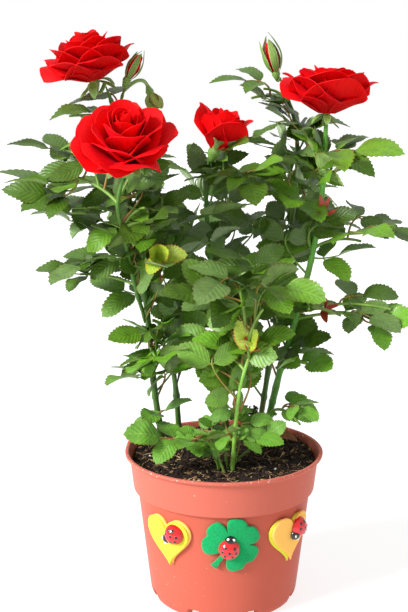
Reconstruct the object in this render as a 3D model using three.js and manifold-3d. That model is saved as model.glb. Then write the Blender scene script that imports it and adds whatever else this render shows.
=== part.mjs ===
// A miniature rose bush in a round plastic nursery pot, with foam hearts, a foam shamrock
// and wooden ladybirds stuck to the pot.
// Millimetres, +Z up. The origin is the centre of the pot's underside, and -Y is the front.

import * as THREE from 'three';
import { mergeVertices } from 'three/addons/utils/BufferGeometryUtils.js';
import Module from 'manifold-3d';

const wasm = await Module();
wasm.setup();

// ---- Driving dimensions ----

const GAP = 0.3; // clearance kept between neighbouring solids

const POT_HEIGHT = 98;
const POT_SIDES = 32;
const LIP_RADIUS = 65;
const BAND_TOP_RADIUS = 62;
const BAND_FOOT_RADIUS = 59.6;
const BAND_HEIGHT = 24.3;
const WALL_TOP_RADIUS = 57;
const FOOT_RADIUS = 48.5;
const WALL = 1.8; // thickness of the moulded plastic
const FLOOR_RISE = 7; // the pot's floor is raised between its foot ring and its middle pad
const PAD_RADIUS = 15;
const RING_WIDTH = 5;
const NOTCH_COUNT = 8;
const NOTCH_WIDTH = 9;
const NOTCH_HEIGHT = 6.2;
const DRAIN_SIDES = 8;
const DRAIN_RADIUS = 4;
const DRAIN_CIRCLE = 29;

const SOIL_TOP = 91;
const SOIL_RINGS = 4;
const SOIL_SIDES = 24;
const SOIL_WAVE = 2.2;

const HEART_SIZE = 33;
const HEART_DROP = 3; // the hearts' middles are below the shamrock's
const HEART_LEFT_ANGLE = -38.5;
const HEART_RIGHT_ANGLE = 48;
const FOAM_THICKNESS = 3;
const PUNCH_DEPTH = 18; // deep enough to cut right through the curved foam
const LOBE_RADIUS = 5.6; // each shamrock leaflet is a pair of round lobes
const LOBE_REACH = 13.2;
const LOBE_SPREAD = 27;
const LOBE_SIDES = 8;
const ORNAMENT_HEIGHT = 55;
const LADYBIRD_RADIUS = 6.6;
const LADYBIRD_TALL = 5.6;
const DOME_RINGS = 3;
const DOME_SIDES = 10;

const CANE_SIDES = 5;
const CANE_STEPS = 9;
const BLOOM_SIDES = 12;
const BUD_SIDES = 8;
const MASS_DETAIL = 2; // subdivision of the icosahedron that a foliage mass starts from
const SMALL_MASS_DETAIL = 1;
const SMALL_MASS = 49; // a mass with no half size over this counts as small
const MASS_RIPPLE = 0.16; // how far a mass bulges and dips, as a share of its size

// ---- Colours and finishes ----

const finish = {
  terracottaPlastic: { color: 0xd96c58, roughness: 0.5, metalness: 0 },
  pottingSoil: { color: 0x2b1d16, roughness: 1, metalness: 0 },
  yellowFoam: { color: 0xfff066, roughness: 0.9, metalness: 0 },
  orangeFoam: { color: 0xffb05a, roughness: 0.9, metalness: 0 },
  greenFelt: { color: 0x12c26a, roughness: 1, metalness: 0 },
  redEnamel: { color: 0xe8303a, roughness: 0.2, metalness: 0 },
  blackEnamel: { color: 0x141414, roughness: 0.25, metalness: 0 },
  greenCane: { color: 0x4f8a45, roughness: 0.6, metalness: 0 },
  youngShoot: { color: 0x7cc142, roughness: 0.6, metalness: 0 },
  redPetals: { color: 0xd40812, roughness: 0.7, metalness: 0 },
  greenSepals: { color: 0x6f9a45, roughness: 0.7, metalness: 0 },
  roseLeaves: { color: 0x2f6b2a, roughness: 0.6, metalness: 0 },
  youngLeaves: { color: 0x68a83a, roughness: 0.6, metalness: 0 },
};

// ---- Solids ----

// A closed geometry with its shared corners welded, so that each edge has exactly two faces.
function welded(geometry) {
  const bare = new THREE.BufferGeometry();
  bare.setAttribute('position', geometry.getAttribute('position'));
  bare.setIndex(geometry.index);
  const merged = mergeVertices(bare, 1e-4);
  const corners = merged.index.array;
  const kept = [];
  for (let i = 0; i < corners.length; i += 3) {
    const [a, b, c] = [corners[i], corners[i + 1], corners[i + 2]];
    if (a !== b && b !== c && c !== a) kept.push(a, b, c);
  }
  merged.setIndex(kept);
  return merged;
}

function toSolid(geometry) {
  const merged = welded(geometry);
  return new wasm.Manifold(new wasm.Mesh({
    numProp: 3,
    vertProperties: new Float32Array(merged.getAttribute('position').array),
    triVerts: new Uint32Array(merged.index.array),
  }));
}

function toGeometry(solid) {
  const mesh = solid.getMesh();
  const geometry = new THREE.BufferGeometry();
  geometry.setAttribute('position', new THREE.BufferAttribute(mesh.vertProperties, 3));
  geometry.setIndex(Array.from(mesh.triVerts));
  return geometry;
}

// The largest of the pieces that a cut leaves.
function largestPiece(solid) {
  const pieces = solid.decompose();
  pieces.sort((a, b) => b.volume() - a.volume());
  return pieces[0];
}

// A solid of revolution about Z from [radius, height] pairs, going up the outside.
function turned(profile, sides) {
  const points = profile.map(([radius, height]) => new THREE.Vector2(radius, height));
  return new THREE.LatheGeometry(points, sides).rotateX(Math.PI / 2);
}

// A smooth wander between -1 and 1 over directions or places, different for each seed.
function wander(x, y, z, seed) {
  const a = Math.sin(x * 3.1 + seed * 1.7) * Math.sin(y * 2.7 - seed * 2.3);
  const b = Math.sin(y * 4.9 + z * 3.3 + seed * 0.9);
  const c = Math.sin(z * 5.3 - x * 4.1 + seed * 3.1);
  return (a + b * 0.6 + c * 0.5) / 2.1;
}

const root = new THREE.Group();
const taken = []; // solids that later pieces are cut clear of

function addNode(name, geometry, look) {
  const mesh = new THREE.Mesh(geometry, new THREE.MeshStandardMaterial(look));
  mesh.name = name;
  root.add(mesh);
}

// ---- Pot ----

const bandFoot = POT_HEIGHT - BAND_HEIGHT;

function wallRadius(height) {
  return THREE.MathUtils.lerp(FOOT_RADIUS, WALL_TOP_RADIUS, height / bandFoot);
}

function makePot() {
  const inside = (height) => wallRadius(height) - WALL;
  const floorTop = FLOOR_RISE + WALL;
  const shell = toSolid(turned([
    [0, 0],
    [PAD_RADIUS, 0],
    [PAD_RADIUS + 2, FLOOR_RISE],
    [FOOT_RADIUS - RING_WIDTH - 3, FLOOR_RISE],
    [FOOT_RADIUS - RING_WIDTH - 1, 0],
    [FOOT_RADIUS - 3, 0],
    [wallRadius(4), 4],
    [wallRadius(bandFoot - 1), bandFoot - 1],
    [BAND_FOOT_RADIUS, bandFoot],
    [BAND_TOP_RADIUS, POT_HEIGHT - 4.5],
    [LIP_RADIUS - 1, POT_HEIGHT - 2],
    [LIP_RADIUS, POT_HEIGHT - 0.8],
    [LIP_RADIUS - 0.8, POT_HEIGHT],
    [LIP_RADIUS - 2.4, POT_HEIGHT],
    [BAND_TOP_RADIUS - WALL, POT_HEIGHT - 3.5],
    [BAND_FOOT_RADIUS - WALL, bandFoot + 1.4],
    [inside(bandFoot - 2), bandFoot - 1],
    [inside(floorTop), floorTop],
    [0, floorTop],
  ], POT_SIDES));
  const cutters = [];
  for (let i = 0; i < NOTCH_COUNT; i += 1) {
    const turn = ((i + 0.5) * 2 * Math.PI) / NOTCH_COUNT;
    const notch = new THREE.BoxGeometry(RING_WIDTH * 4, NOTCH_WIDTH, NOTCH_HEIGHT * 2);
    notch.translate(FOOT_RADIUS, 0, 0).rotateZ(turn);
    cutters.push(toSolid(notch));
    const drain = new THREE.CylinderGeometry(DRAIN_RADIUS, DRAIN_RADIUS, FLOOR_RISE * 4, DRAIN_SIDES);
    drain.rotateX(Math.PI / 2).translate(DRAIN_CIRCLE, 0, floorTop).rotateZ(turn);
    cutters.push(toSolid(drain));
  }
  return cutters.reduce((pot, cutter) => pot.subtract(cutter), shell);
}

// ---- Soil ----

function soilHeight(x, y) {
  const reach = Math.hypot(x, y) / BAND_TOP_RADIUS;
  const roll = wander(x / 16, y / 16, 0.4, 5);
  return SOIL_TOP + SOIL_WAVE * roll + 2 * reach * reach;
}

// The soil's solid, with its top raised by lift.
function makeSoil(lift) {
  const positions = [];
  const faces = [];
  const topRadius = BAND_TOP_RADIUS - WALL - 1.6;
  const sideRings = [
    [topRadius, null],
    [BAND_FOOT_RADIUS - WALL - 2 * GAP, bandFoot + 3],
    [wallRadius(bandFoot - 2) - WALL - 2 * GAP, bandFoot - 1],
    [wallRadius(FLOOR_RISE + WALL) - WALL - 2 * GAP, FLOOR_RISE + WALL + GAP],
  ];
  const addRing = (radius, height) => {
    for (let i = 0; i < SOIL_SIDES; i += 1) {
      const turn = (i * 2 * Math.PI) / SOIL_SIDES;
      const [x, y] = [radius * Math.cos(turn), radius * Math.sin(turn)];
      positions.push(x, y, height ?? soilHeight(x, y) + lift);
    }
  };
  positions.push(0, 0, soilHeight(0, 0) + lift);
  for (let ring = 1; ring < SOIL_RINGS; ring += 1) addRing((topRadius * ring) / SOIL_RINGS, null);
  for (const [radius, height] of sideRings) addRing(radius, height);
  positions.push(0, 0, FLOOR_RISE + WALL + GAP);
  const ringCount = SOIL_RINGS + sideRings.length - 1;
  const last = ringCount * SOIL_SIDES + 1;
  for (let i = 0; i < SOIL_SIDES; i += 1) {
    const next = (i + 1) % SOIL_SIDES;
    faces.push(0, 1 + i, 1 + next);
    for (let ring = 0; ring < ringCount - 1; ring += 1) {
      const inner = 1 + ring * SOIL_SIDES;
      const outer = inner + SOIL_SIDES;
      faces.push(inner + i, outer + i, outer + next);
      faces.push(inner + i, outer + next, inner + next);
    }
    const rim = last - SOIL_SIDES;
    faces.push(last, rim + next, rim + i);
  }
  const geometry = new THREE.BufferGeometry();
  geometry.setAttribute('position', new THREE.Float32BufferAttribute(positions, 3));
  geometry.setIndex(faces);
  return geometry;
}

// ---- Foam ornaments and ladybirds ----

// A heart as one prism, a little lopsided, as cut by hand.
function heartPunches(size, depth) {
  const r = size / 4;
  const shape = new THREE.Shape();
  shape.moveTo(0, r * 1.15);
  shape.bezierCurveTo(r * 0.3, r * 2.0, r * 1.9, r * 2.3, r * 2, r * 0.75);
  shape.bezierCurveTo(r * 2.05, -r * 0.5, r * 0.7, -r * 1.1, r * 0.1, -r * 2);
  shape.bezierCurveTo(-r * 0.6, -r * 1.0, -r * 2.05, -r * 0.4, -r * 2, r * 0.85);
  shape.bezierCurveTo(-r * 1.9, r * 2.35, -r * 0.4, r * 2.1, 0, r * 1.15);
  const heart = new THREE.ExtrudeGeometry(shape, { depth, bevelEnabled: false, curveSegments: 5 });
  return [heart.translate(0, -HEART_DROP, 0)];
}

// The three heart-shaped leaflets of a shamrock and its short stalk, as prisms that overlap.
function shamrockPunches(depth) {
  const disc = (radius, reach, heading) => {
    const turn = THREE.MathUtils.degToRad(heading);
    const prism = new THREE.CylinderGeometry(radius, radius, depth, LOBE_SIDES).rotateX(Math.PI / 2);
    return prism.translate(reach * Math.cos(turn), reach * Math.sin(turn), depth / 2);
  };
  const punches = [disc(LOBE_REACH * 0.8, 0, 0)];
  for (const heading of [158, 52, -54]) {
    punches.push(disc(LOBE_RADIUS, LOBE_REACH, heading - LOBE_SPREAD));
    punches.push(disc(LOBE_RADIUS, LOBE_REACH, heading + LOBE_SPREAD));
  }
  const stalk = new THREE.BoxGeometry(LOBE_REACH, 3.2, depth).translate(LOBE_REACH * 0.85, 0, depth / 2);
  punches.push(stalk.rotateZ(THREE.MathUtils.degToRad(234)));
  return punches;
}

// Seats a piece on the pot's wall: its own +Z points out of the wall and its +Y up the wall.
// angle is measured from the front, +X to its right, and lift is how far it stands off.
function onWall(geometry, angle, lift) {
  const lean = Math.atan2(WALL_TOP_RADIUS - FOOT_RADIUS, bandFoot);
  geometry.rotateX(Math.PI / 2 + lean);
  geometry.translate(0, -wallRadius(ORNAMENT_HEIGHT) - lift * Math.cos(lean), ORNAMENT_HEIGHT);
  return geometry.rotateZ(THREE.MathUtils.degToRad(angle));
}

// A layer of foam as thick as the ornaments all round the wall, which each outline is cut from.
function makeFoamSleeve() {
  const [low, high] = [ORNAMENT_HEIGHT - HEART_SIZE, bandFoot - 0.6];
  const [inner, outer] = [GAP, GAP + FOAM_THICKNESS];
  return toSolid(turned([
    [wallRadius(low) + inner, low],
    [wallRadius(low) + outer, low],
    [wallRadius(high) + outer, high],
    [wallRadius(high) + inner, high],
    [wallRadius(low) + inner, low],
  ], POT_SIDES));
}

// Cuts an ornament out of the foam with the prisms that make up its outline.
function makeOrnament(punches, angle) {
  const seated = punches.map((punch) => toSolid(onWall(punch, angle, -FOAM_THICKNESS * 3)));
  const outline = seated.reduce((whole, punch) => whole.add(punch));
  return toGeometry(makeFoamSleeve().intersect(outline));
}

// Half an egg on its flat side, seated on the face of an ornament, or sunk a little into it.
function makeDome(radius, tall, across, up, angle, sink) {
  const profile = [[0, 0]];
  for (let i = 0; i <= DOME_RINGS; i += 1) {
    const climb = (i * Math.PI) / (2 * DOME_RINGS);
    profile.push([radius * Math.cos(climb), tall * Math.sin(climb)]);
  }
  profile[DOME_RINGS + 1][0] = 0;
  const dome = turned(profile, DOME_SIDES).translate(across, up, 0);
  return toSolid(onWall(dome, angle, FOAM_THICKNESS + 3 * GAP - sink));
}

// A domed body and a head. across and up are from the ornament's middle, heading from its right.
function addLadybird(name, angle, across, up, heading) {
  const turn = THREE.MathUtils.degToRad(heading);
  const [headAcross, headUp] = [
    across + LADYBIRD_RADIUS * Math.cos(turn),
    up + LADYBIRD_RADIUS * Math.sin(turn),
  ];
  const body = makeDome(LADYBIRD_RADIUS, LADYBIRD_TALL, across, up, angle, 0);
  const clear = makeDome(LADYBIRD_RADIUS + 2 * GAP, LADYBIRD_TALL + 2 * GAP, across, up, angle, GAP);
  const head = makeDome(LADYBIRD_RADIUS * 0.55, LADYBIRD_TALL * 0.6, headAcross, headUp, angle, 0);
  addNode(`${name}_body`, toGeometry(body), finish.redEnamel);
  addNode(`${name}_head`, toGeometry(largestPiece(head.subtract(clear))), finish.blackEnamel);
}

// ---- Canes ----

// A tapering limb along a smooth curve through its joints, grown by swell all over.
function limbGeometry({ joints, foot, tip }, swell) {
  const curve = new THREE.CatmullRomCurve3(joints.map((joint) => new THREE.Vector3(...joint)));
  const frames = curve.computeFrenetFrames(CANE_STEPS, false);
  const positions = [];
  const faces = [];
  for (let step = 0; step <= CANE_STEPS; step += 1) {
    const along = step / CANE_STEPS;
    const radius = THREE.MathUtils.lerp(foot, tip, along) + swell;
    const centre = curve.getPointAt(along);
    for (let side = 0; side < CANE_SIDES; side += 1) {
      const turn = (side * 2 * Math.PI) / CANE_SIDES;
      const edge = frames.normals[step].clone().multiplyScalar(radius * Math.cos(turn));
      edge.addScaledVector(frames.binormals[step], radius * Math.sin(turn)).add(centre);
      positions.push(edge.x, edge.y, edge.z);
      if (step === CANE_STEPS) continue;
      const here = step * CANE_SIDES + side;
      const beside = step * CANE_SIDES + ((side + 1) % CANE_SIDES);
      faces.push(here, beside, beside + CANE_SIDES, here, beside + CANE_SIDES, here + CANE_SIDES);
    }
  }
  const end = (along, first, outward) => {
    const centre = curve.getPointAt(along);
    const way = curve.getTangentAt(along).multiplyScalar(outward * swell);
    positions.push(centre.x + way.x, centre.y + way.y, centre.z + way.z);
    const middle = positions.length / 3 - 1;
    for (let side = 0; side < CANE_SIDES; side += 1) {
      const next = first + ((side + 1) % CANE_SIDES);
      if (outward > 0) faces.push(middle, first + side, next);
      else faces.push(middle, next, first + side);
    }
  };
  end(0, 0, -1);
  end(1, CANE_STEPS * CANE_SIDES, 1);
  const geometry = new THREE.BufferGeometry();
  geometry.setAttribute('position', new THREE.Float32BufferAttribute(positions, 3));
  geometry.setIndex(faces);
  return geometry;
}

// Each cane rises from the soil, or from the cane it forks from, to a bloom, a bud or a mass.
const canes = [
  { name: 'cane_left', foot: 2.6, tip: 1.6,
    joints: [[-40, 17, 86], [-47, 12, 135], [-51, 11, 193], [-61, 10, 255], [-67, 2, 318],
      [-75, -4.5, 333]] },
  { name: 'cane_right', foot: 2.8, tip: 1.7,
    joints: [[25, 20, 86], [37, 12, 148], [52, 6, 205], [61, 4, 255], [62, -4, 296], [62, -9, 314]] },
  { name: 'cane_centre', foot: 2.4, tip: 1.4,
    joints: [[2, 34, 86], [-1, 27, 150], [-8, 18, 211], [-12, 15, 250], [-12, 6, 278], [-9.5, 1.5, 291]] },
  { name: 'cane_back_right', foot: 2.5, tip: 1.2,
    joints: [[23, 38, 86], [33, 38, 160], [41, 30, 215], [46, 24, 265], [47, 19, 306], [41, 20, 328],
      [34, 17, 338]] },
  { name: 'cane_back_left', foot: 2.5, tip: 1.4,
    joints: [[-31, 34, 86], [-33, 28, 131], [-40, 42, 170], [-48, 62, 215], [-44, 70, 262]] },
  { name: 'shoot_front', foot: 1.7, tip: 1.0,
    joints: [[5, -24, 86], [7, -30, 120], [10, -34, 150], [15, -35, 168]] },
  { name: 'bough_left_front', foot: 1.7, tip: 1.3,
    joints: [[-51.5, 8, 181], [-56, 2, 199], [-62, -19, 240], [-65, -31, 262], [-59, -41, 278]] },
  { name: 'bough_back_middle', foot: 1.7, tip: 1.2,
    joints: [[-33, 30, 133], [-24, 44, 165], [-8, 64, 205], [4, 74, 255]] },
  { name: 'bough_back_right', foot: 1.7, tip: 1.2,
    joints: [[37, 38, 182], [48, 52, 210], [58, 66, 245], [60, 70, 270]] },
  { name: 'bough_left_bud', foot: 1.1, tip: 0.9,
    joints: [[-66, 2, 317], [-64, 2, 327], [-61, 0.5, 333]] },
];

// ---- Blooms and buds ----

// An open bloom on its hip, lobed by its outer petals. Its own axis is +Z.
function bloomGeometry(across, tall, petals) {
  const r = across / 2;
  const profile = [
    [0, -0.5], [0.12, -0.48], [0.16, -0.4], [0.15, -0.32], [0.42, -0.24],
    [0.82, -0.05], [1, 0.18], [0.93, 0.33], [0.6, 0.36], [0.25, 0.38], [0, 0.38],
  ];
  const geometry = turned(profile.map(([out, up]) => [out * r, up * tall]), BLOOM_SIDES);
  const position = geometry.getAttribute('position');
  for (let i = 0; i < position.count; i += 1) {
    const [x, y, z] = [position.getX(i), position.getY(i), position.getZ(i)];
    const out = Math.hypot(x, y) / r;
    const lobe = 1 + 0.045 * Math.min(1, out * out) * Math.sin(petals * Math.atan2(y, x));
    position.setXYZ(i, x * lobe, y * lobe, z);
  }
  return geometry;
}

// A closed bud on its hip, ending in the points of its sepals. Its own axis is +Z.
function budGeometry(across, tall) {
  const r = across / 2;
  const profile = [
    [0, -0.5], [0.5, -0.46], [0.62, -0.36], [0.5, -0.28], [0.95, -0.1], [0.9, 0.12],
    [0.5, 0.34], [0.15, 0.47], [0, 0.5],
  ];
  return turned(profile.map(([out, up]) => [out * r, up * tall]), BUD_SIDES);
}

// Turns a piece's own +Z towards a direction and moves it to its place.
function placed(geometry, at, towards) {
  const way = new THREE.Vector3(...towards).normalize();
  const turn = new THREE.Quaternion().setFromUnitVectors(new THREE.Vector3(0, 0, 1), way);
  return geometry.applyQuaternion(turn).translate(...at);
}

const blooms = [
  { name: 'bloom_front', across: 57, tall: 42, petals: 5, at: [-57, -57, 297], towards: [0.05, -0.58, 0.81] },
  { name: 'bloom_left', across: 57, tall: 36, petals: 6, at: [-82, -10, 348], towards: [-0.3, -0.22, 0.93] },
  { name: 'bloom_right', across: 62, tall: 34, petals: 5, at: [62, -10, 331], towards: [0.03, -0.06, 1] },
  { name: 'bloom_middle', across: 36, tall: 30, petals: 4, at: [-4, 0, 306], towards: [0.3, -0.1, 0.95] },
];

const buds = [
  { name: 'bud_right', across: 12, tall: 25, at: [29, 16, 352], towards: [-0.25, -0.1, 0.96] },
  { name: 'bud_left', across: 11, tall: 22, at: [-55, 0, 345], towards: [0.5, 0, 0.87] },
  { name: 'bud_small', across: 12, tall: 14, at: [-46, 20, 323], towards: [0.35, 0, -0.94] },
];

// ---- Foliage masses ----

// An uneven closed solid with half sizes along X, Y and Z, swollen in its own places.
function massGeometry(mass, seed) {
  const detail = Math.max(...mass.half) < SMALL_MASS ? SMALL_MASS_DETAIL : MASS_DETAIL;
  const geometry = welded(new THREE.IcosahedronGeometry(1, detail));
  const position = geometry.getAttribute('position');
  const [a, b, c] = mass.half;
  for (let i = 0; i < position.count; i += 1) {
    const [x, y, z] = [position.getX(i), position.getY(i), position.getZ(i)];
    const swell = 1 - MASS_RIPPLE + MASS_RIPPLE * wander(x, y, z, seed) * 1.6;
    position.setXYZ(i, x * swell * a, y * swell * b, z * swell * c);
  }
  return placed(geometry, mass.at, mass.towards ?? [0, 0, 1]);
}

const masses = [
  { name: 'leaves_left_top', at: [-99, -4, 280], half: [53, 42, 21] },
  { name: 'leaves_left_upper', at: [-92, 12, 252], half: [48, 46, 14] },
  { name: 'leaves_left_middle', at: [-84, 4, 213], half: [46, 42, 19] },
  { name: 'leaves_left_crest', at: [-97, 6, 312], half: [30, 24, 14] },
  { name: 'leaves_left_inner', at: [-44, -26, 249], half: [37, 32, 37] },
  { name: 'leaves_left_low', at: [-46, -32, 166], half: [47, 34, 24] },
  { name: 'leaves_left_back', at: [-62, 64, 250], half: [54, 44, 36] },
  { name: 'leaves_middle_top', at: [12, -14, 276], half: [58, 42, 29] },
  { name: 'leaves_middle_front', at: [8, -52, 208], half: [54, 38, 36] },
  { name: 'leaves_middle_low', at: [-16, -20, 165], half: [52, 34, 13] },
  { name: 'leaves_middle_back', at: [0, 84, 258], half: [48, 40, 40] },
  { name: 'leaves_back_low', at: [-14, 60, 196], half: [60, 40, 26] },
  { name: 'leaves_right_top', at: [71, -2, 298], half: [60, 44, 17] },
  { name: 'leaves_right_upper', at: [86, 8, 240], half: [50, 46, 15] },
  { name: 'leaves_right_middle', at: [50, -16, 194], half: [27, 34, 23] },
  { name: 'leaves_right_outer', at: [103, -14, 194], half: [24, 28, 19] },
  { name: 'leaves_right_low', at: [53, -4, 158], half: [29, 34, 23] },
  { name: 'leaves_right_crest', at: [14, 16, 329], half: [38, 18, 13] },
  { name: 'leaves_right_back', at: [64, 70, 254], half: [50, 44, 34] },
  { name: 'leaves_foot_left', at: [-29, -36, 122], half: [38, 24, 19] },
  { name: 'leaves_foot_right', at: [41, -14, 119], half: [31, 26, 15] },
];

// ---- Assembly ----

addNode('pot', toGeometry(makePot()), finish.terracottaPlastic);
addNode('soil', makeSoil(0), finish.pottingSoil);

const hearts = () => heartPunches(HEART_SIZE, PUNCH_DEPTH);
addNode('heart_left', makeOrnament(hearts(), HEART_LEFT_ANGLE), finish.yellowFoam);
addNode('shamrock', makeOrnament(shamrockPunches(PUNCH_DEPTH), 5), finish.greenFelt);
addNode('heart_right', makeOrnament(hearts(), HEART_RIGHT_ANGLE), finish.orangeFoam);
addLadybird('ladybird_left', HEART_LEFT_ANGLE, 7, 4.3, 215);
addLadybird('ladybird_middle', 5, -1.5, -2, 82);
addLadybird('ladybird_right', HEART_RIGHT_ANGLE, 5, 3.8, 225);

const ground = toSolid(makeSoil(GAP));

blooms.forEach(({ name, across, tall, petals, at, towards }) => {
  addNode(name, placed(bloomGeometry(across, tall, petals), at, towards), finish.redPetals);
  taken.push(toSolid(placed(bloomGeometry(across + 8 * GAP, tall + 6 * GAP, petals), at, towards)));
});
buds.forEach(({ name, across, tall, at, towards }) => {
  addNode(name, placed(budGeometry(across, tall), at, towards), finish.greenSepals);
  taken.push(toSolid(placed(budGeometry(across + 6 * GAP, tall + 6 * GAP), at, towards)));
});

canes.forEach((cane) => {
  let solid = toSolid(limbGeometry(cane, 0)).subtract(ground);
  taken.forEach((other) => {
    solid = solid.subtract(other);
  });
  const look = cane.name === 'shoot_front' ? finish.youngShoot : finish.greenCane;
  addNode(cane.name, toGeometry(largestPiece(solid)), look);
  taken.push(toSolid(limbGeometry(cane, GAP)));
});

masses.forEach((mass, index) => {
  let solid = toSolid(massGeometry(mass, index + 1)).subtract(ground);
  taken.forEach((other) => {
    solid = solid.subtract(other);
  });
  const low = mass.name.startsWith('leaves_foot');
  addNode(mass.name, toGeometry(largestPiece(solid)), low ? finish.youngLeaves : finish.roseLeaves);
  const grown = mass.half.map((size) => size + 2 * GAP);
  taken.push(toSolid(massGeometry({ ...mass, half: grown }, index + 1)));
});

export default root;
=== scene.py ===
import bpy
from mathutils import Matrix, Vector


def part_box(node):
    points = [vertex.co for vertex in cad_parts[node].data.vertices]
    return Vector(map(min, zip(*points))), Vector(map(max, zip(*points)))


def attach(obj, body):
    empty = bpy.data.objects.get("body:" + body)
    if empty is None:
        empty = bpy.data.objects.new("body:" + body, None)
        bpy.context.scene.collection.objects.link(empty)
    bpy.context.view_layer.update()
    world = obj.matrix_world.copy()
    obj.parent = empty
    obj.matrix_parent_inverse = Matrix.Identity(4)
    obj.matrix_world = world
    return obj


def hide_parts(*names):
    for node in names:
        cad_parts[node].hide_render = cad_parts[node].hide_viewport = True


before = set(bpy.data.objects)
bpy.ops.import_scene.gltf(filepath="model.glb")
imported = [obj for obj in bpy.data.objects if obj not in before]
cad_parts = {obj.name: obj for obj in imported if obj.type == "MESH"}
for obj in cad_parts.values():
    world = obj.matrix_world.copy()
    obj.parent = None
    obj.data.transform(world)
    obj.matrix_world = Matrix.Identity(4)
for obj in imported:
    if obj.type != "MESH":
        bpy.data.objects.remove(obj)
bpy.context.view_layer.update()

import math
import random

import bpy
import numpy as np
from mathutils import Vector, noise

# ---- Driving dimensions, in millimetres and degrees unless a comment says otherwise ----

MM = 0.001

# Pot and compost
POT_HEIGHT = 98.0
LIP_RADIUS = 65.0
BAND_TOP_RADIUS = 62.0
BAND_FOOT_RADIUS = 59.6
BAND_HEIGHT = 24.3
BAND_FOOT = POT_HEIGHT - BAND_HEIGHT
WALL_TOP_RADIUS = 57.0
FOOT_RADIUS = 48.5
WALL = 1.8
FLOOR_RISE = 7.0
PAD_RADIUS = 15.0
RING_WIDTH = 5.0
NOTCH_COUNT = 8
NOTCH_WIDTH = 9.0
NOTCH_HEIGHT = 6.2
POT_SIDES = 192
CORNER_STEPS = 4
SOIL_RINGS, SOIL_SIDES = 46, 150
SOIL_TOP = 91.5
SOIL_WAVE = 2.0

# Ornaments. Their angles run round the pot from its front.
GLUE = 0.3
FOAM_THICKNESS = 1.5
ORNAMENT_HEIGHT = 55.0
HEART_SIZE = 33.0
HEART_POINTS = 72
HEART_DROP = 3.0
HEART_LEFT_ANGLE = -38.5
HEART_RIGHT_ANGLE = 48
CLOVER_SIZE = 18.0
CLOVER_POINTS = 216
CLOVER_ANGLE = 5
CLOVER_THICKNESS = FOAM_THICKNESS * 1.6
CLOVER_STALK_TURN = 234
STALK_GLUE = 0.25
STALK_THICKNESS = FOAM_THICKNESS * 1.5
LADYBIRD_RADIUS = 6.6
LADYBIRD_TALL = 5.6
# Across and ahead from a ladybird's middle, in shares of its radius.
LADYBIRD_DOTS = [
    (-0.44, 0.34), (0.44, 0.34), (-0.66, -0.1), (0.66, -0.1), (-0.36, -0.5), (0.36, -0.5), (0, -0.08),
]

# Limbs
LIMB_CUTS = 26
BARK_SIDES = 12
BARK_STEP = 1.6
NODE_SPACING = 24.0

# Leaves. LEAF_SPACE sets how many a mass has, LOW_SPACE is its share in the low masses, and YOUNG_SIZE
# is the share of full size that leaves have at the foot.
LEAF_SPACE = 9.0
LOW_SPACE = 0.65
YOUNG_SIZE = 0.6
# The share of a mass's leaves that reach its outline, and how many places are tried for each leaf.
OUTLINE_SHARE = 0.6
TRIES = 4
# How near two tips may be in leaf lengths, the longest leaf, and how far in front of a bloom none may grow.
CROWDING = 0.6
LONGEST_LEAF = 100
BLOOM_SIGHT = 120
# A leaf's end leaflet has this length times a random share, held to END_SHARE of the leaf's reach. Most
# are held, so they come out nearer 24 mm.
LEAFLET_LENGTH = 31.0
END_SHARE = 0.6
LEAFLET_WIDTH = 0.66
LEAFLET_FOOT = 0.56
LEAFLET_POINT = 0.72
LEAFLET_STATIONS = 20
LEAFLET_THICKNESS = 0.45
TOOTH_DEPTH = 0.058
TOOTH_LEAN = 0.014

# Petals and sepals
PETAL_STEPS = 60
PETAL_STATIONS = 12
PETAL_COLUMNS = 14
PETAL_THICKNESS = 0.32
BUD_PETALS = 7
SEPALS = 5

# The golden angle in degrees, for petals, and in radians, for leaves.
GOLDEN_DEGREES = 137.5
GOLDEN_TURN = 2.39996
# Edges sharper than this stay sharp in the shading.
SHARP_EDGE = 75
# The middle of each half of a leaf's or petal's map, its reach to either side, and its foot and height.
MAP_LEFT, MAP_RIGHT, MAP_REACH = 0.25, 0.75, 0.23
MAP_FOOT, MAP_CLIMB = 0.02, 0.96

# Seeds of the random draws, and how many of each small thing there are.
LIMB_SEED, SHOOT_SEED, LEAF_SEED, TUFT_SEED, SPROUT_SEED, LITTER_SEED = 11, 90, 335, 700, 62, 51
SPROUTS, DRY_ROOTS, FIBRES, GRIT = 9, 26, 420, 260

# The strength of the backdrop's light and of the sun, and the sun's spread and heading.
AMBIENT = 0.66
KEY = 4.8
KEY_SPREAD = 22
SUN_HEADING = (0.75, 0.45, -0.5)
# The camera's lens, its turn, and its place in metres, and the floor's reach and height in metres.
LENS = 55.64
SENSOR_WIDTH = 36.0
CAMERA_TILT = 10.26
CAMERA_YAW = -1.26
CAMERA_PLACE = (0.0, -0.600, 0.3023)
FLOOR_REACH, FLOOR_DROP = 30.0, -0.0002

CANES = ["cane_left", "cane_right", "cane_centre", "cane_back_right", "cane_back_left"]
BOUGHS = ["bough_left_front", "bough_back_middle", "bough_back_right", "bough_left_bud"]
MASSES = sorted(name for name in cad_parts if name.startswith("leaves_"))


def vec(*values):
    return np.array(values, float)


def unit(v):
    return v / (np.linalg.norm(v) + 1e-12)


def swing(side, ahead, turn):
    """The direction that lies a turn from side towards ahead."""
    return side * math.cos(turn) + ahead * math.sin(turn)


def drawn(draw, *limits):
    """A direction or shift of three draws, each from the same limits."""
    return vec(*(draw(*limits) for _ in range(3)))


def on_ring(radius, turn):
    """Two coordinates of a place on a ring."""
    return radius * math.cos(turn), radius * math.sin(turn)


def box_mm(node):
    """Centre and half size of a CAD node, in millimetres."""
    low, high = (np.array(corner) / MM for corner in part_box(node))
    return (low + high) / 2, (high - low) / 2


def smooth(low, high, x):
    t = np.clip((x - low) / (high - low), 0, 1)
    return t * t * (3 - 2 * t)


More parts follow.
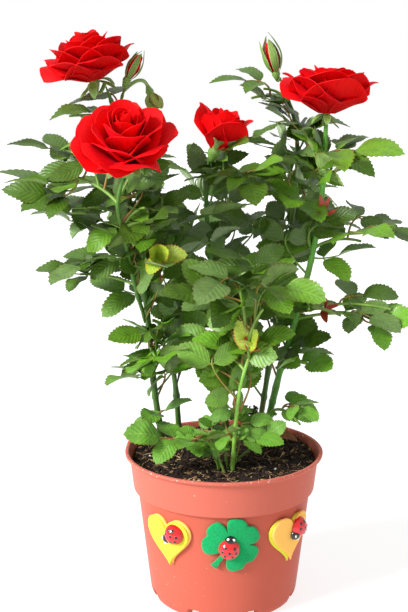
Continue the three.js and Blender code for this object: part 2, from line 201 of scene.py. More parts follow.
def wander(x, y, z):
    """A smooth random value from -1 to 1 that belongs to a place."""
    return noise.noise(Vector((x, y, z)))


# ---- Materials ----


def linear(colour):
    """An sRGB hex colour as linear RGBA."""
    parts = [int(colour[i : i + 2], 16) / 255 for i in (1, 3, 5)]
    return tuple(c / 12.92 if c <= 0.04045 else ((c + 0.055) / 1.055) ** 2.4 for c in parts) + (1.0,)


def add_node(tree, kind, settings=None):
    """Adds one node. Settings are its inputs by name or number, or properties of its own.
    An input that is given another node's output is linked to it."""
    made = tree.nodes.new(kind)
    for key, value in (settings or {}).items():
        if isinstance(value, bpy.types.NodeSocket):
            tree.links.new(value, made.inputs[key])
        elif isinstance(key, int) or key in made.inputs:
            made.inputs[key].default_value = value
        else:
            setattr(made, key, value)
    return made


class Skin:
    """A material on one Principled shader, whose sockets are given plain values by name.
    Its methods add nodes. They take numbers, hex colours or other nodes' outputs, and return an output."""

    def __init__(self, name, colour, sockets):
        self.material = bpy.data.materials.new(name)
        self.material.use_nodes = True
        self.tree = self.material.node_tree
        self.shader = self.tree.nodes["Principled BSDF"]
        self.shader.inputs["Base Color"].default_value = linear(colour)
        for key, value in sockets.items():
            self.shader.inputs[key].default_value = value

    def place(self, kind="Object"):
        """The place on the part itself, or the Normal there."""
        return add_node(self.tree, "ShaderNodeTexCoord").outputs[kind]

    def height(self, place):
        return add_node(self.tree, "ShaderNodeSeparateXYZ", {0: place}).outputs[2]

    def map_place(self):
        """The place on a leaf's or petal's map, its two coordinates, and 1 on the underside or reverse."""
        place = add_node(self.tree, "ShaderNodeUVMap", {"uv_map": "OFBake"}).outputs[0]
        parts = add_node(self.tree, "ShaderNodeSeparateXYZ", {0: place}).outputs
        return place, parts[0], parts[1], self.math("GREATER_THAN", parts[0], 0.5)

    def math(self, operation, *values):
        settings = {"operation": operation, **dict(enumerate(values))}
        return add_node(self.tree, "ShaderNodeMath", settings).outputs[0]

    def ramp(self, value, low, high, to_low=0.0, to_high=1.0, kind="LINEAR"):
        """A value rescaled from one range to another, and held within it."""
        settings = {"interpolation_type": kind, "From Min": low, "From Max": high, "Value": value}
        settings.update({"To Min": to_low, "To Max": to_high})
        return add_node(self.tree, "ShaderNodeMapRange", settings).outputs[0]

    def mix(self, share, first, second, kind="MIX"):
        """The first colour with a share of the second."""
        first, second = (linear(colour) if isinstance(colour, str) else colour for colour in (first, second))
        settings = {"data_type": "RGBA", "blend_type": kind, 0: share, 6: first, 7: second}
        return add_node(self.tree, "ShaderNodeMix", settings).outputs[2]

    def noise(self, place, scale, detail, roughness=0.5):
        settings = {"Scale": scale, "Detail": detail, "Roughness": roughness, "Vector": place}
        return add_node(self.tree, "ShaderNodeTexNoise", settings).outputs[0]

    def stretch(self, place, scale):
        return add_node(self.tree, "ShaderNodeMapping", {"Scale": scale, "Vector": place}).outputs[0]

    def finish(self, colour, height, strength, distance, dull=None):
        """Wires in the colour, a relief of this height and strength in millimetres, and the roughness."""
        settings = {"Strength": strength, "Distance": distance * MM, "Height": height}
        relief = add_node(self.tree, "ShaderNodeBump", settings).outputs[0]
        self.tree.links.new(colour, self.shader.inputs["Base Color"])
        self.tree.links.new(relief, self.shader.inputs["Normal"])
        if dull is not None:
            self.tree.links.new(dull, self.shader.inputs["Roughness"])
        return self.material


def leaf_material(name, top, under, vein, rim, rim_share, roughness):
    """A rose leaf's waxy skin: midrib and side veins on both faces, and a paler, duller underside.
    The map's left half is the upper face and its right half the underside."""
    skin = Skin(name, top, {"IOR": 1.45, "Specular IOR Level": 0.8})
    place, right, along, below = skin.map_place()
    half = skin.math("FRACT", skin.math("MULTIPLY", right, 2.0))
    across = skin.math("ABSOLUTE", skin.math("SUBTRACT", half, 0.5))
    midrib = skin.ramp(across, 0.012, 0.04, 1.0, 0.0)
    # Eight pairs of side veins, about one to every 4 mm of a leaflet.
    slant = skin.math("MULTIPLY", across, -5.2)
    phase = skin.math("FRACT", skin.math("MULTIPLY_ADD", along, 8.0, slant))
    from_vein = skin.math("ABSOLUTE", skin.math("SUBTRACT", phase, 0.5))
    veins = skin.math("MAXIMUM", midrib, skin.ramp(from_vein, 0.02, 0.16, 0.55, 0.0))
    cells = skin.noise(place, 9.0, 5.0, 0.72)
    mottle = skin.ramp(cells, 0.3, 0.7, 0.7, 1.3)
    shaded = skin.mix(1.0, skin.mix(below, top, under), mottle, "MULTIPLY")
    veined = skin.mix(skin.math("MULTIPLY", veins, 0.3), shaded, vein)
    edged = skin.mix(skin.ramp(across, 0.38, 0.46, 0.0, rim_share), veined, rim)
    # The skin is quilted: it swells between the side veins and sinks along them and the midrib.
    swell = skin.ramp(from_vein, 0.0, 0.5, 0.0, 1.2, "SMOOTHSTEP")
    height = skin.math("ADD", skin.math("SUBTRACT", swell, midrib), cells)
    return skin.finish(edged, height, 0.4, 0.28, skin.ramp(below, 0.0, 1.0, roughness, 0.62))


def petal_material(name, inner, outer, shade, reverse):
    """Velvety rose petal: painted shade deep at its foot, clear red above, with fine streaks from foot to
    rim.
    The map's left half is the upper face and its right half the reverse."""
    skin = Skin(
        name, inner,
        {
            "Roughness": 0.62, "IOR": 1.4, "Specular IOR Level": 0.2,
            "Sheen Weight": 0.16, "Sheen Roughness": 0.4, "Sheen Tint": linear(outer),
        },
    )
    place, _, along, below = skin.map_place()
    # Streaks about 1 mm apart on a petal 30 mm wide, coarse enough to show.
    streaks = skin.noise(skin.stretch(place, (40.0, 2.2, 1.0)), 1.6, 3.0)
    # Painted shade: the face darkens from its rim towards its foot, deep in the bloom.
    face = skin.mix(skin.ramp(along, 0.15, 0.85), shade, inner)
    depth = skin.ramp(streaks, 0.3, 0.7, 0.82, 1.12)
    streaked = skin.mix(1.0, skin.mix(below, face, reverse), depth, "MULTIPLY")
    return skin.finish(streaked, streaks, 0.25, 0.3)


def mottled_material(name, colours, grain, sockets, bump=0.3, relief=0.4, detail=4.0):
    """A colour that wanders between two shades in patches of the grain's size, with relief to match."""
    skin = Skin(name, colours[0], sockets)
    patches = skin.noise(skin.stretch(skin.place(), (1 / (grain * MM),) * 3), 1.0, detail, 0.6)
    return skin.finish(skin.mix(skin.ramp(patches, 0.35, 0.65), *colours), patches, bump, relief)


def pot_material():
    """Injection-moulded polypropylene: satin, a faint orange-peel skin, and lime dried along the lip."""
    skin = Skin(
        "moulded terracotta polypropylene", "#C46050",
        {"Roughness": 0.46, "IOR": 1.49, "Specular IOR Level": 0.05},
    )
    place = skin.place()
    height = skin.height(place)
    clouds = skin.noise(place, 30.0, 3.0)
    body = skin.mix(clouds, "#BC5A48", "#C46352")
    # The band is painted a little paler than the wall, as painted light on the pot's upper part.
    band_painted_light = skin.ramp(height, (BAND_FOOT - 1.0) * MM, BAND_FOOT * MM, 0.0, 0.4)
    body = skin.mix(band_painted_light, body, "#D07666")
    # Lime specks 1 to 2 mm across, thickest in the top 5 mm.
    near_lip = skin.ramp(height, (POT_HEIGHT - 5.0) * MM, (POT_HEIGHT - 0.8) * MM, 0.0, 0.11)
    lime = skin.ramp(skin.math("ADD", skin.noise(place, 520.0, 2.0, 0.7), near_lip), 0.72, 0.82)
    marked = skin.mix(lime, body, "#F3D9CE")
    # Compost has stained the inside of the band: the skin that faces the pot's own axis.
    outward = add_node(
        skin.tree, "ShaderNodeVectorMath", {"operation": "MULTIPLY", 0: place, 1: (1, 1, 0)}
    ).outputs[0]
    facing = add_node(
        skin.tree, "ShaderNodeVectorMath",
        {"operation": "DOT_PRODUCT", 0: outward, 1: skin.place("Normal")},
    ).outputs["Value"]
    blotched = skin.math("MULTIPLY", skin.ramp(facing, -0.02, -0.04), clouds)
    marked = skin.mix(blotched, marked, "#7A3E28")
    peel = skin.noise(place, 900.0, 2.0)
    return skin.finish(marked, peel, 0.12, 0.15, skin.ramp(lime, 0.0, 1.0, 0.4, 0.85))


def bark_material(name, low, high, blush):
    """Green rose bark: waxy and smooth, duller near the soil, and flushed in patches."""
    skin = Skin(name, high, {"Roughness": 0.45, "IOR": 1.45})
    place = skin.place()
    height = skin.height(place)
    streaks = skin.noise(skin.stretch(place, [1 / (size * MM) for size in (1.2, 1.2, 9)]), 1.0, 4.0, 0.65)
    body = skin.mix(skin.ramp(height, 95 * MM, 230 * MM), low, high)
    streaked = skin.mix(1.0, body, skin.ramp(streaks, 0.3, 0.7, 0.7, 1.25), "MULTIPLY")
    flush = skin.ramp(skin.noise(place, 40.0, 1.0), 0.56, 0.75, 0.0, 0.45)
    return skin.finish(skin.mix(flush, streaked, blush), streaks, 0.4, 0.3)


# ---- Mesh building ----


class Gathering:
    """Points, faces, map places and finish numbers of many small parts that end up as one mesh."""

    def __init__(self):
        self.points, self.faces, self.places, self.looks, self.count = [], [], [], [], 0

    def add(self, points, faces, places=None, look=0):
        points = np.asarray(points, float)
        self.points.append(points)
        self.places.append(np.zeros((len(points), 2)) if places is None else np.asarray(places, float))
        self.faces.extend(tuple(self.count + i for i in face) for face in faces)
        self.looks.extend([look] * len(faces))
        self.count += len(points)

    def piece(self, name, materials, slot, replaced=()):
        """The gathered parts as one object that rides with the plant."""
        mesh = bpy.data.meshes.new(name)
        mesh.from_pydata((np.vstack(self.points) * MM).tolist(), [], self.faces)
        places = np.vstack(self.places)
        layer = mesh.uv_layers.new(name="OFBake")
        corners = np.zeros(len(mesh.loops), np.int32)
        mesh.loops.foreach_get("vertex_index", corners)
        layer.data.foreach_set("uv", places[corners].astype(np.float32).ravel())
        for material in materials:
            mesh.materials.append(material)
        mesh.polygons.foreach_set("material_index", np.array(self.looks, np.int32))
        mesh.polygons.foreach_set("use_smooth", np.full(len(self.looks), True))
        mesh.update()
        mesh.set_sharp_from_angle(angle=math.radians(SHARP_EDGE))
        return settle(bpy.data.objects.new(name, mesh), replaced)


def settle(piece, replaced=()):
    """Links a finished piece, hangs it on the root body, and hides the CAD parts it replaces."""
    bpy.context.scene.collection.objects.link(piece)
    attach(piece, "root")
    if replaced:
        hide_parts(*replaced)
    return piece


def tube(into, path, radii, sides, look=0, ripple=None):
    """A round limb along a path, closed at both ends."""
    path = np.asarray(path, float)
    count = len(path)
    tangents = np.gradient(path, axis=0)
    side = None
    points, places = [], []
    for i in range(count):
        along = unit(tangents[i])
        if side is None:
            side = unit(np.cross(along, vec(0.3, 1, 0.1)))
        side = unit(side - along * np.dot(side, along))
        up = np.cross(along, side)
        for k in range(sides):
            turn = 2 * math.pi * k / sides
            reach = radii[i] * (1 + (ripple(i, k) if ripple else 0))
            points.append(path[i] + swing(side, up, turn) * reach)
            places.append((k / sides, i / count))
    faces = bands(count, sides)
    faces.append(tuple(range(sides - 1, -1, -1)))
    faces.append(tuple((count - 1) * sides + k for k in range(sides)))
    into.add(points, faces, places, look)


def bands(rings, sides, start=0, inward=False):
    """Four-sided faces between rings of points, each ring this many points round."""
    faces = []
    for i in range(rings - 1):
        for k in range(sides):
            a, b = start + i * sides + k, start + i * sides + (k + 1) % sides
            faces.append((a, a + sides, b + sides, b) if inward else (a, b, b + sides, a + sides))
    return faces


def capped_rings(rings, sides, inward):
    """Faces of a solid made of rings, with a point of its own before the first ring and after the last."""
    after = [(k + 1) % sides for k in range(sides)]
    start, last = 1 + (rings - 1) * sides, 1 + rings * sides
    first = [(0, 1 + k, 1 + after[k]) if inward else (0, 1 + after[k], 1 + k) for k in range(sides)]
    closing = [
        (last, start + after[k], start + k) if inward else (last, start + k, start + after[k])
        for k in range(sides)
    ]
    return first + bands(rings, sides, 1, inward) + closing


def bend(start, control, end, count):
    """Points on a curve that leaves start towards control and comes in to end from it."""
    t = np.linspace(0, 1, count)[:, None]
    return (1 - t) ** 2 * start + 2 * t * (1 - t) * control + t**2 * end


def run_along(path):
    """How far along a path each of its points lies."""
    return np.concatenate([[0], np.cumsum(np.linalg.norm(np.diff(path, axis=0), axis=1))])


def lathe(into, profile, sides, shift):
    """Turns a profile of (radius, height) pairs round the upright axis, where its ends lie.
    Shift gives each point its own radius and height."""
    points = []
    for radius, height in profile[1:-1]:
        for k in range(sides):
            turn = 2 * math.pi * k / sides
            r, z = shift(radius, height, turn)
            points.append((*on_ring(r, turn), z))
    rings = len(profile) - 2
    foot, top = len(points), len(points) + 1
    points += [(0, 0, profile[0][1]), (0, 0, profile[-1][1])]
    faces = bands(rings, sides)
    for k in range(sides):
        b = (k + 1) % sides
        faces.append((foot, b, k))
        faces.append((top, (rings - 1) * sides + k, (rings - 1) * sides + b))
    into.add(points, faces)


def sheet_between(into, upper, lower, places_up, places_down):
    """A thin closed solid between two matching grids of points, which share their outline."""
    rows, columns = upper.shape[:2]
    number = np.arange(rows * columns).reshape(rows, columns)
    under = number + rows * columns
    faces = []
    for i in range(rows - 1):
        for k in range(columns - 1):
            faces.append((number[i, k], number[i, k + 1], number[i + 1, k + 1], number[i + 1, k]))
            faces.append((under[i, k], under[i + 1, k], under[i + 1, k + 1], under[i, k + 1]))
    rim = (
        [(0, k) for k in range(columns)]
        + [(i, columns - 1) for i in range(1, rows)]
        + [(rows - 1, k) for k in range(columns - 2, -1, -1)]
        + [(i, 0) for i in range(rows - 2, 0, -1)]
    )
    for n, here in enumerate(rim):
        after = rim[(n + 1) % len(rim)]
        faces.append((number[after], number[here], under[here], under[after]))
    points = np.vstack([upper.reshape(-1, 3), lower.reshape(-1, 3)])
    places = np.vstack([places_up.reshape(-1, 2), places_down.reshape(-1, 2)])
    into.add(points, faces, places)


def grid_normals(grid):
    """Outward directions of a grid of points, rows running along and columns across."""
    along = np.gradient(grid, axis=0)
    across = np.gradient(grid, axis=1)
    normals = np.cross(across, along)
    return normals / (np.linalg.norm(normals, axis=2, keepdims=True) + 1e-9)


# ---- Leaves ----


def leaflet(into, base, tip, width, up, look, rng, fold, arch, twist, toothed=True, point=LEAFLET_POINT):
    """One leaflet: an egg-shaped blade with a sawn edge, folded along its midrib and arched along it."""
    reach = tip - base
    length = np.linalg.norm(reach)
    along = unit(reach)
    side = unit(np.cross(along, up))
    normal = np.cross(side, along)
    stations = LEAFLET_STATIONS
    s = np.linspace(0, 1, stations) ** 0.94
    half = s**LEAFLET_FOOT * (1 - s) ** point
    half = half / half.max()
    half = np.maximum(half * width / 2, [0.35] + [0.1] * (stations - 2) + [0.12])
    bow = arch * length * np.sin(math.pi * s**0.85)
    sway = rng.uniform(-0.05, 0.05) * length * np.sin(math.pi * s)
    spine = base + np.outer(s * length, along) + np.outer(bow, normal) + np.outer(sway, side)
    tooth = np.where(np.arange(stations) % 2 == 1, 1.0, -1.0) if toothed else np.zeros(stations)
    tooth[0] = tooth[-1] = 0
    wave, wave_phase = rng.uniform(0.02, 0.12), rng.uniform(0, 6.28)
    tan_fold = math.tan(math.radians(fold))
    turn = math.radians(twist) * (s - 0.3)
    upper = np.zeros((stations, 3, 3))
    for k, u in enumerate((-1, 0, 1)):
        out = u * half * (1 + TOOTH_DEPTH * tooth)
        forward = abs(u) * TOOTH_LEAN * length * tooth + 0.05 * np.abs(out)
        ripple = wave * half * u * u * np.sin(s * 11 + wave_phase + (1.3 if u > 0 else 0))
        lift = np.abs(out) * tan_fold + ripple
        x, z = out * np.cos(turn) - lift * np.sin(turn), out * np.sin(turn) + lift * np.cos(turn)
        upper[:, k] = spine + np.outer(x, side) + np.outer(z, normal) + np.outer(forward, along)
    lower = upper[:, 1] - normal * LEAFLET_THICKNESS
    faces = []
    for i in range(stations - 1):
        here, after = i * 3, i * 3 + 3
        under, under_after = stations * 3 + i, stations * 3 + i + 1
        faces.append((here, here + 1, after + 1, after))
        faces.append((here + 1, here + 2, after + 2, after + 1))
        faces.append((here, after, under_after, under))
        faces.append((under, under_after, after + 2, here + 2))
    last = (stations - 1) * 3
    faces.append((stations * 3, 2, 1, 0))
    faces.append((last, last + 1, last + 2, stations * 4 - 1))
    places = [(MAP_LEFT + MAP_REACH * k, MAP_FOOT + MAP_CLIMB * v) for v in s for k in (-1, 0, 1)]
    places += [(MAP_RIGHT, MAP_FOOT + MAP_CLIMB * v) for v in s]
    into.add(np.vstack([upper.reshape(-1, 3), lower]), faces, places, look)


class Foliage:
    """The leaf sprays of the plant: blades by kind, and the stalks that carry them."""

    def __init__(self):
        self.blades, self.young, self.stalks = Gathering(), Gathering(), Gathering()

    def compound_leaf(self, start, tip, count, length, up, look, rng, young):
        """A stalk that rises from start and arches over. One leaflet ends it at tip, with pairs behind."""
        blades = self.young if young else self.blades
        reach = tip - start
        distance = np.linalg.norm(reach)
        outward = unit(tip * vec(1, 1, 0) - vec(0, 12, 0))
        level = unit(reach * vec(1, 1, 0) / distance + outward * 0.35)
        heading = unit(level + vec(0, 0, rng.uniform(-0.5, 0.25) + 0.4 * reach[2] / distance))
        length = min(length, distance * END_SHARE)
        joint = tip - heading * length
        path = bend(start, joint - heading * distance * 0.4, joint, 14)
        flushed = 1 if young or rng.random() < 0.35 else 0
        tube(self.stalks, path, np.linspace(0.8, 0.42, 14), 5, flushed)
        self.blade(blades, joint, tip, up, look, rng)
        run = run_along(path)
        for pair in range((count - 1) // 2):
            at = run[-1] - (0.4 + 0.86 * pair) * length
            if at < run[-1] * 0.2:
                break
            base, after = (
                vec(*(np.interp(r, run, path[:, k]) for k in range(3))) for r in (at, at + 1)
            )
            ahead = unit(after - base)
            side = unit(np.cross(ahead, up))
            normal = np.cross(side, ahead)
            for turn in (-1, 1):
                angle = math.radians(rng.uniform(48, 80))
                out = ahead * math.cos(angle) + side * turn * math.sin(angle)
                out = out + normal * rng.uniform(-0.35, 0.2)
                foot = base + unit(out) * 1.6
                short = bend(base, (base + foot) / 2, foot + unit(out), 3)
                tube(self.stalks, short, [0.5, 0.45, 0.4], 4, flushed)
                grown = length * (0.94 - 0.12 * pair) * rng.uniform(0.84, 1.06)
                self.blade(blades, foot, foot + unit(out) * grown, normal, look, rng)

    @staticmethod
    def blade(blades, foot, tip, up, look, rng, slim=1.0):
        """One leaflet, rolled a little about the way it points, slimmer and more pointed high up."""
        high = float(smooth(200, 285, tip[2]))
        along = unit(tip - foot)
        up = unit(up - along * np.dot(up, along))
        roll = math.radians(rng.uniform(-30, 30))
        up = swing(up, np.cross(along, up), roll)
        width = np.linalg.norm(tip - foot) * LEAFLET_WIDTH * rng.uniform(0.88, 1.12)
        width = width * (1.04 - 0.16 * high) * slim
        leaflet(
            blades, foot, tip, width, up, look, rng,
            rng.uniform(2, 15), rng.uniform(0.0, 0.11), rng.uniform(-18, 18),
            True, LEAFLET_POINT + 0.2 * high,
        )


# ---- Limbs ----


def limb_path(node):
    """Centre line and radii of a CAD limb, from level cuts through it, in millimetres."""
    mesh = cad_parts[node].data
    places = np.array([v.co[:] for v in mesh.vertices]) / MM
    corners = np.array([p.vertices[:] for p in mesh.polygons])
    low, high = places[:, 2].min(), places[:, 2].max()
    path, radii = [], []
    for level in np.linspace(low + 0.5, high - 0.5, LIMB_CUTS):
        crossings = []
        for a, b in ((0, 1), (1, 2), (2, 0)):
            p, q = places[corners[:, a]], places[corners[:, b]]
            through = (p[:, 2] < level) != (q[:, 2] < level)
            p, q = p[through], q[through]
            share = ((level - p[:, 2]) / (q[:, 2] - p[:, 2]))[:, None]
            crossings.append(p + (q - p) * share)
        ring = np.vstack(crossings)
        middle = ring.mean(axis=0)
        path.append(middle)
        radii.append(np.linalg.norm(ring - middle, axis=1).min())
    return np.array(path), np.array(radii)


def resample(path, radii, step):
    """The same limb with a point every so many millimetres along it, its corners eased."""
    eased = path.copy()
    for _ in range(2):
        eased[1:-1] = (eased[:-2] + 2 * eased[1:-1] + eased[2:]) / 4
    run = run_along(eased)
    at = np.linspace(0, run[-1], max(8, int(run[-1] / step)))
    points = np.stack([np.interp(at, run, eased[:, k]) for k in range(3)], axis=1)
    return points, np.interp(at, run, radii), at


def grow_limb(into, node, seed):
    """A limb's bark, which swells at each leaf joint and has faint ridges. Returns its centre line."""
    path, radii, at = resample(*limb_path(node), BARK_STEP)
    rng = random.Random(seed)
    joints = np.arange(rng.uniform(8, 20), at[-1] - 4, NODE_SPACING * rng.uniform(0.85, 1.15))
    swell = sum(np.exp(-(((at - j) / 1.7) ** 2)) for j in joints) if len(joints) else 0 * at
    radii = radii * (1 + 0.24 * swell)

    def ripple(i, k):
        return 0.07 * wander(k * 0.9, at[i] / 5.0, seed) + 0.03 * math.cos(k * 3.1 + seed)

    tube(into, path, radii, BARK_SIDES, ripple=ripple)
    return path


def start_for(target, starts, nearest):
    """The place on a limb that a leaf at target would grow from: near, and rather below than above."""
    apart = np.linalg.norm(starts - target, axis=1)
    above = np.maximum(0, starts[:, 2] - target[2] + 4)
    return starts[np.argmin(apart + above * 0.8 + np.maximum(0, nearest - apart) * 2)]


# ---- Blooms ----


def bloom_frame(heading):
    """Three directions at right angles, the last of them the heading."""
    up = unit(np.asarray(heading, float))
    side = unit(np.cross(up, vec(0.2, 1.0, 0.1)))
    return side, np.cross(up, side), up


def petal(into, frame_of, foot, azimuth, length, half_width, leans, base_radius, flat, curl, point, rng):
    """One petal: a sheet that climbs from its foot by leans (at its foot and at its rim), wraps round
    the bloom's axis with one side tucked under its neighbour, and rolls its sides and rim out by curl.
    Flat opens its wrap, and point draws out its tip."""
    rows, columns = PETAL_STATIONS, PETAL_COLUMNS
    b = np.linspace(0, 1, rows)
    steps = np.linspace(0, 1, PETAL_STEPS)
    lean = np.radians(leans[0] + (leans[1] - leans[0]) * steps + curl * smooth(0.74, 1.0, steps))
    out_run, up_run = (
        np.concatenate([[0], np.cumsum(part(lean[1:]) * length / (PETAL_STEPS - 1))])
        for part in (np.sin, np.cos)
    )
    out_run = base_radius + out_run
    u = np.linspace(-1, 1, columns)
    width = half_width * (0.28 + 0.72 * np.sin(np.minimum(b / 0.66, 1) * math.pi / 2))
    phase, ruffle = rng.uniform(0, 6.28), rng.uniform(0.02, 0.07)
    grid = np.zeros((rows, columns, 3))
    side, ahead, up = frame_of
    radial = swing(side, ahead, azimuth)
    tangent = -side * math.sin(azimuth) + ahead * math.cos(azimuth)
    for k, a in enumerate(u):
        shortening = 1 - 0.34 * abs(a) ** 2.6 + point * math.exp(-((a / 0.18) ** 2))
        v = np.clip(b * shortening / (1 + point), 0, 1)
        r = np.interp(v, steps, out_run) * (1 + 0.14 * a)
        z = np.interp(v, steps, up_run)
        tilt = np.interp(v, steps, lean)
        ring = np.maximum(r * (1 + flat), 2.2)
        turn = a * np.minimum(width / ring, 2.2)
        roll = half_width * abs(a) ** 3 * math.radians(curl) * 0.4 * smooth(0.3, 1.0, b)
        ripple = ruffle * half_width * math.sin(3.4 * a + phase) * b**2
        away = (r - ring) + ring * np.cos(turn) + (roll + ripple) * np.cos(tilt)
        lift = z - (roll + ripple) * np.sin(tilt)
        grid[:, k] = (
            foot + np.outer(away, radial) + np.outer(ring * np.sin(turn), tangent) + np.outer(lift, up)
        )
    normals = grid_normals(grid)
    upper, lower = grid + normals * PETAL_THICKNESS / 2, grid - normals * PETAL_THICKNESS / 2
    v, a = np.meshgrid(b, u, indexing="ij")
    climb = MAP_FOOT + MAP_CLIMB * v
    inner = np.stack([MAP_LEFT + MAP_REACH * a, climb], axis=2)
    outer = np.stack([MAP_RIGHT + MAP_REACH * a, climb], axis=2)
    # Columns run anticlockwise round the axis, so the grid's own normals face the bloom's heart.
    sheet_between(into, upper, lower, inner, outer)


def rose(into, centre, heading, across, tall, count, seed, openness, point):
    """A double bloom: petals set by the golden angle, wound tight at the heart and spread out round it."""
    rng = random.Random(seed)
    axes = bloom_frame(heading)
    radius = across / 2
    base = centre - axes[2] * tall * 0.5
    # The outermost petal's mean lean: from it, a length that reaches the bloom's width.
    widest = math.radians(61 * openness - 4)
    for i in range(count):
        t = i / (count - 1)
        spread = t**0.85 * openness
        azimuth = math.radians(GOLDEN_DEGREES * i + rng.uniform(-8, 8))
        leans = (5 + 52 * spread, -14 + 10 * t + 68 * spread + rng.uniform(-7, 7))
        length = tall * 0.86 + (radius * 0.92 / math.sin(widest) - tall * 0.86) * t**1.2
        half_width = radius * (0.28 + 0.38 * t**0.7)
        petal(
            into, axes, base + axes[2] * tall * 0.08 * (1 - t), azimuth, length * rng.uniform(0.94, 1.04),
            half_width * rng.uniform(0.92, 1.08), leans, 1.0 + radius * 0.06 * t, 0.05 + 1.2 * t,
            4 + 38 * smooth(0.15, 0.8, t), point * t * rng.random(), rng,
        )
    return base, axes


def calyx(into, base, axes, size, lean, seed):
    """The green cup under a bloom, and the pointed sepals that leave it."""
    rng = random.Random(seed)
    up = axes[2]
    profile = [(-6.5, 1.5), (-5.0, 2.3), (-3.0, 3.2), (-1.0, 3.7), (0.6, 3.4), (1.6, 2.4)]
    path = [base + up * h * size for h, _ in profile]
    tube(into, path, [r * size for _, r in profile], 12)
    for k in range(SEPALS):
        azimuth = 2 * math.pi * (k + rng.uniform(-0.15, 0.15)) / SEPALS + seed
        out = swing(axes[0], axes[1], azimuth)
        angle = math.radians(lean + rng.uniform(-26, 26))
        heading = swing(up, out, angle)
        foot = base + out * 2.6 * size
        facing = unit(up * math.sin(angle) - out * math.cos(angle))
        leaflet(
            into, foot, foot + heading * size * rng.uniform(12, 18), size * 6.4, facing, 0, rng, 16,
            rng.uniform(-0.12, 0.2), rng.uniform(-24, 24), False,
        )


def pedicel(into, top, up):
    """The smooth stalk that joins a flower's cup to the nearest limb's end, or else to a limb's side."""
    ends = np.array([path[-1] for path in LIMBS.values()])
    end = ends[np.argmin(np.linalg.norm(ends - top, axis=1))]
    if np.linalg.norm(end - top) > 22:
        end = start_for(top, limb_points, 16)
    control = top - up * min(9.0, np.linalg.norm(end - top) * 0.6)
    path = bend(end, control, top + up * 0.5, 10)
    tube(into, path, np.linspace(1.25, 1.15, 10), 9)


def bud(into, green, centre, heading, across, tall, seed, gap, wide, look):
    """A bud: petals wound into a cone, clasped by sepals that reach its tip. One of them stands off."""
    rng = random.Random(seed)
    axes = bloom_frame(heading)
    side, ahead, up = axes
    base = centre - up * tall * 0.5
    for i in range(BUD_PETALS):
        t = i / (BUD_PETALS - 1)
        petal(
            into, axes, base, math.radians(GOLDEN_DEGREES * i), tall * (0.92 - 0.05 * t),
            across * (0.42 + 0.14 * t), (30 + 8 * t, -30 - 6 * t), 0.5, 0.02, 4, 0.0, rng,
        )
    tube(green, [base - up * h for h in (6, 4, 2, 0)], [1.1, 1.9, 2.8, 2.5], 12)
    for k in range(SEPALS):
        azimuth = 2 * math.pi * k / SEPALS + gap
        out = swing(side, ahead, azimuth)
        foot = base + out * across * 0.16 - up * 0.8
        away = 0.42 if k == 0 else 0.08
        tip = base + up * tall * rng.uniform(0.9, 1.2) + out * across * away
        arch = 0.2 - away * 0.2
        leaflet(green, foot, tip, across * wide, out, look, rng, -20, arch, rng.uniform(-12, 12), False)
    return base, axes


# ---- Pot and soil ----


def wall_radius(height):
    """Outer radius of the pot's tapering wall at a height."""
    return FOOT_RADIUS + (WALL_TOP_RADIUS - FOOT_RADIUS) * height / BAND_FOOT


def rounded(corners, sizes):
    """A profile with each corner cut back by its size and rounded."""
    made = [corners[0]]
    for i in range(1, len(corners) - 1):
        before, here, after = (np.array(corners[j], float) for j in (i - 1, i, i + 1))
        cut = min(sizes[i], np.linalg.norm(here - before) * 0.45, np.linalg.norm(after - here) * 0.45)
        start, end = here + unit(before - here) * cut, here + unit(after - here) * cut
        made += [tuple(p) for p in (bend(start, here, end, CORNER_STEPS) if cut > 0.05 else [here])]
    made.append(corners[-1])
    return made


def make_pot():
    """A nursery pot with a soft lip, a flared band, a tapering wall and a notched foot ring."""
    floor_top = FLOOR_RISE + WALL
    corners = [
        (0, 0, 0), (PAD_RADIUS, 0, 0.6), (PAD_RADIUS + 2, FLOOR_RISE, 0.6),
        (FOOT_RADIUS - RING_WIDTH - 3, FLOOR_RISE, 0.6), (FOOT_RADIUS - RING_WIDTH - 1, 0, 0.5),
        (FOOT_RADIUS - 1.5, 0, 1.0), (wall_radius(4), 4, 1.0), (wall_radius(7.2), 7.2, 0),
        (wall_radius(9), 9, 0), (wall_radius(30), 30, 0),
        (wall_radius(50), 50, 0), (wall_radius(BAND_FOOT - 0.8), BAND_FOOT - 0.8, 0.5),
        (BAND_FOOT_RADIUS, BAND_FOOT, 1.0), (BAND_TOP_RADIUS - 0.2, POT_HEIGHT - 3.6, 1.0),
        (LIP_RADIUS - 0.4, POT_HEIGHT - 1.9, 0.6), (LIP_RADIUS, POT_HEIGHT, 0.9),
        (LIP_RADIUS - 2.6, POT_HEIGHT, 0.9), (BAND_TOP_RADIUS - WALL, POT_HEIGHT - 5.0, 0.6),
        (BAND_FOOT_RADIUS - WALL, BAND_FOOT + 1.4, 0.5), (wall_radius(BAND_FOOT) - WALL, BAND_FOOT - 1, 0.5),
        (wall_radius(floor_top) - WALL, floor_top, 1.0), (0, floor_top, 0),
    ]
    profile = rounded([c[:2] for c in corners], [c[2] for c in corners])

    def shift(radius, height, turn):
        share = abs((turn * NOTCH_COUNT / (2 * math.pi)) % 1 - 0.5)
        notch = share * 2 * math.pi / NOTCH_COUNT * FOOT_RADIUS
        inside = radius > FOOT_RADIUS - RING_WIDTH - 4 and height < NOTCH_HEIGHT and notch < NOTCH_WIDTH / 2
        # The lip is pushed up and out on its left side towards the back.
        dent = math.exp(-(((turn - math.radians(163)) / 0.2) ** 2)) * float(smooth(80, POT_HEIGHT, height))
        sway = 0.5 * math.sin(2 * turn + 0.6) * float(smooth(60, POT_HEIGHT, height))
        return radius + dent * 1.2 + sway, (NOTCH_HEIGHT if inside else height) + dent * 1.6

    into = Gathering()
    lathe(into, profile, POT_SIDES, shift)
    into.piece("pot_shell", [pot_material()], "pot_plastic", ["pot"])


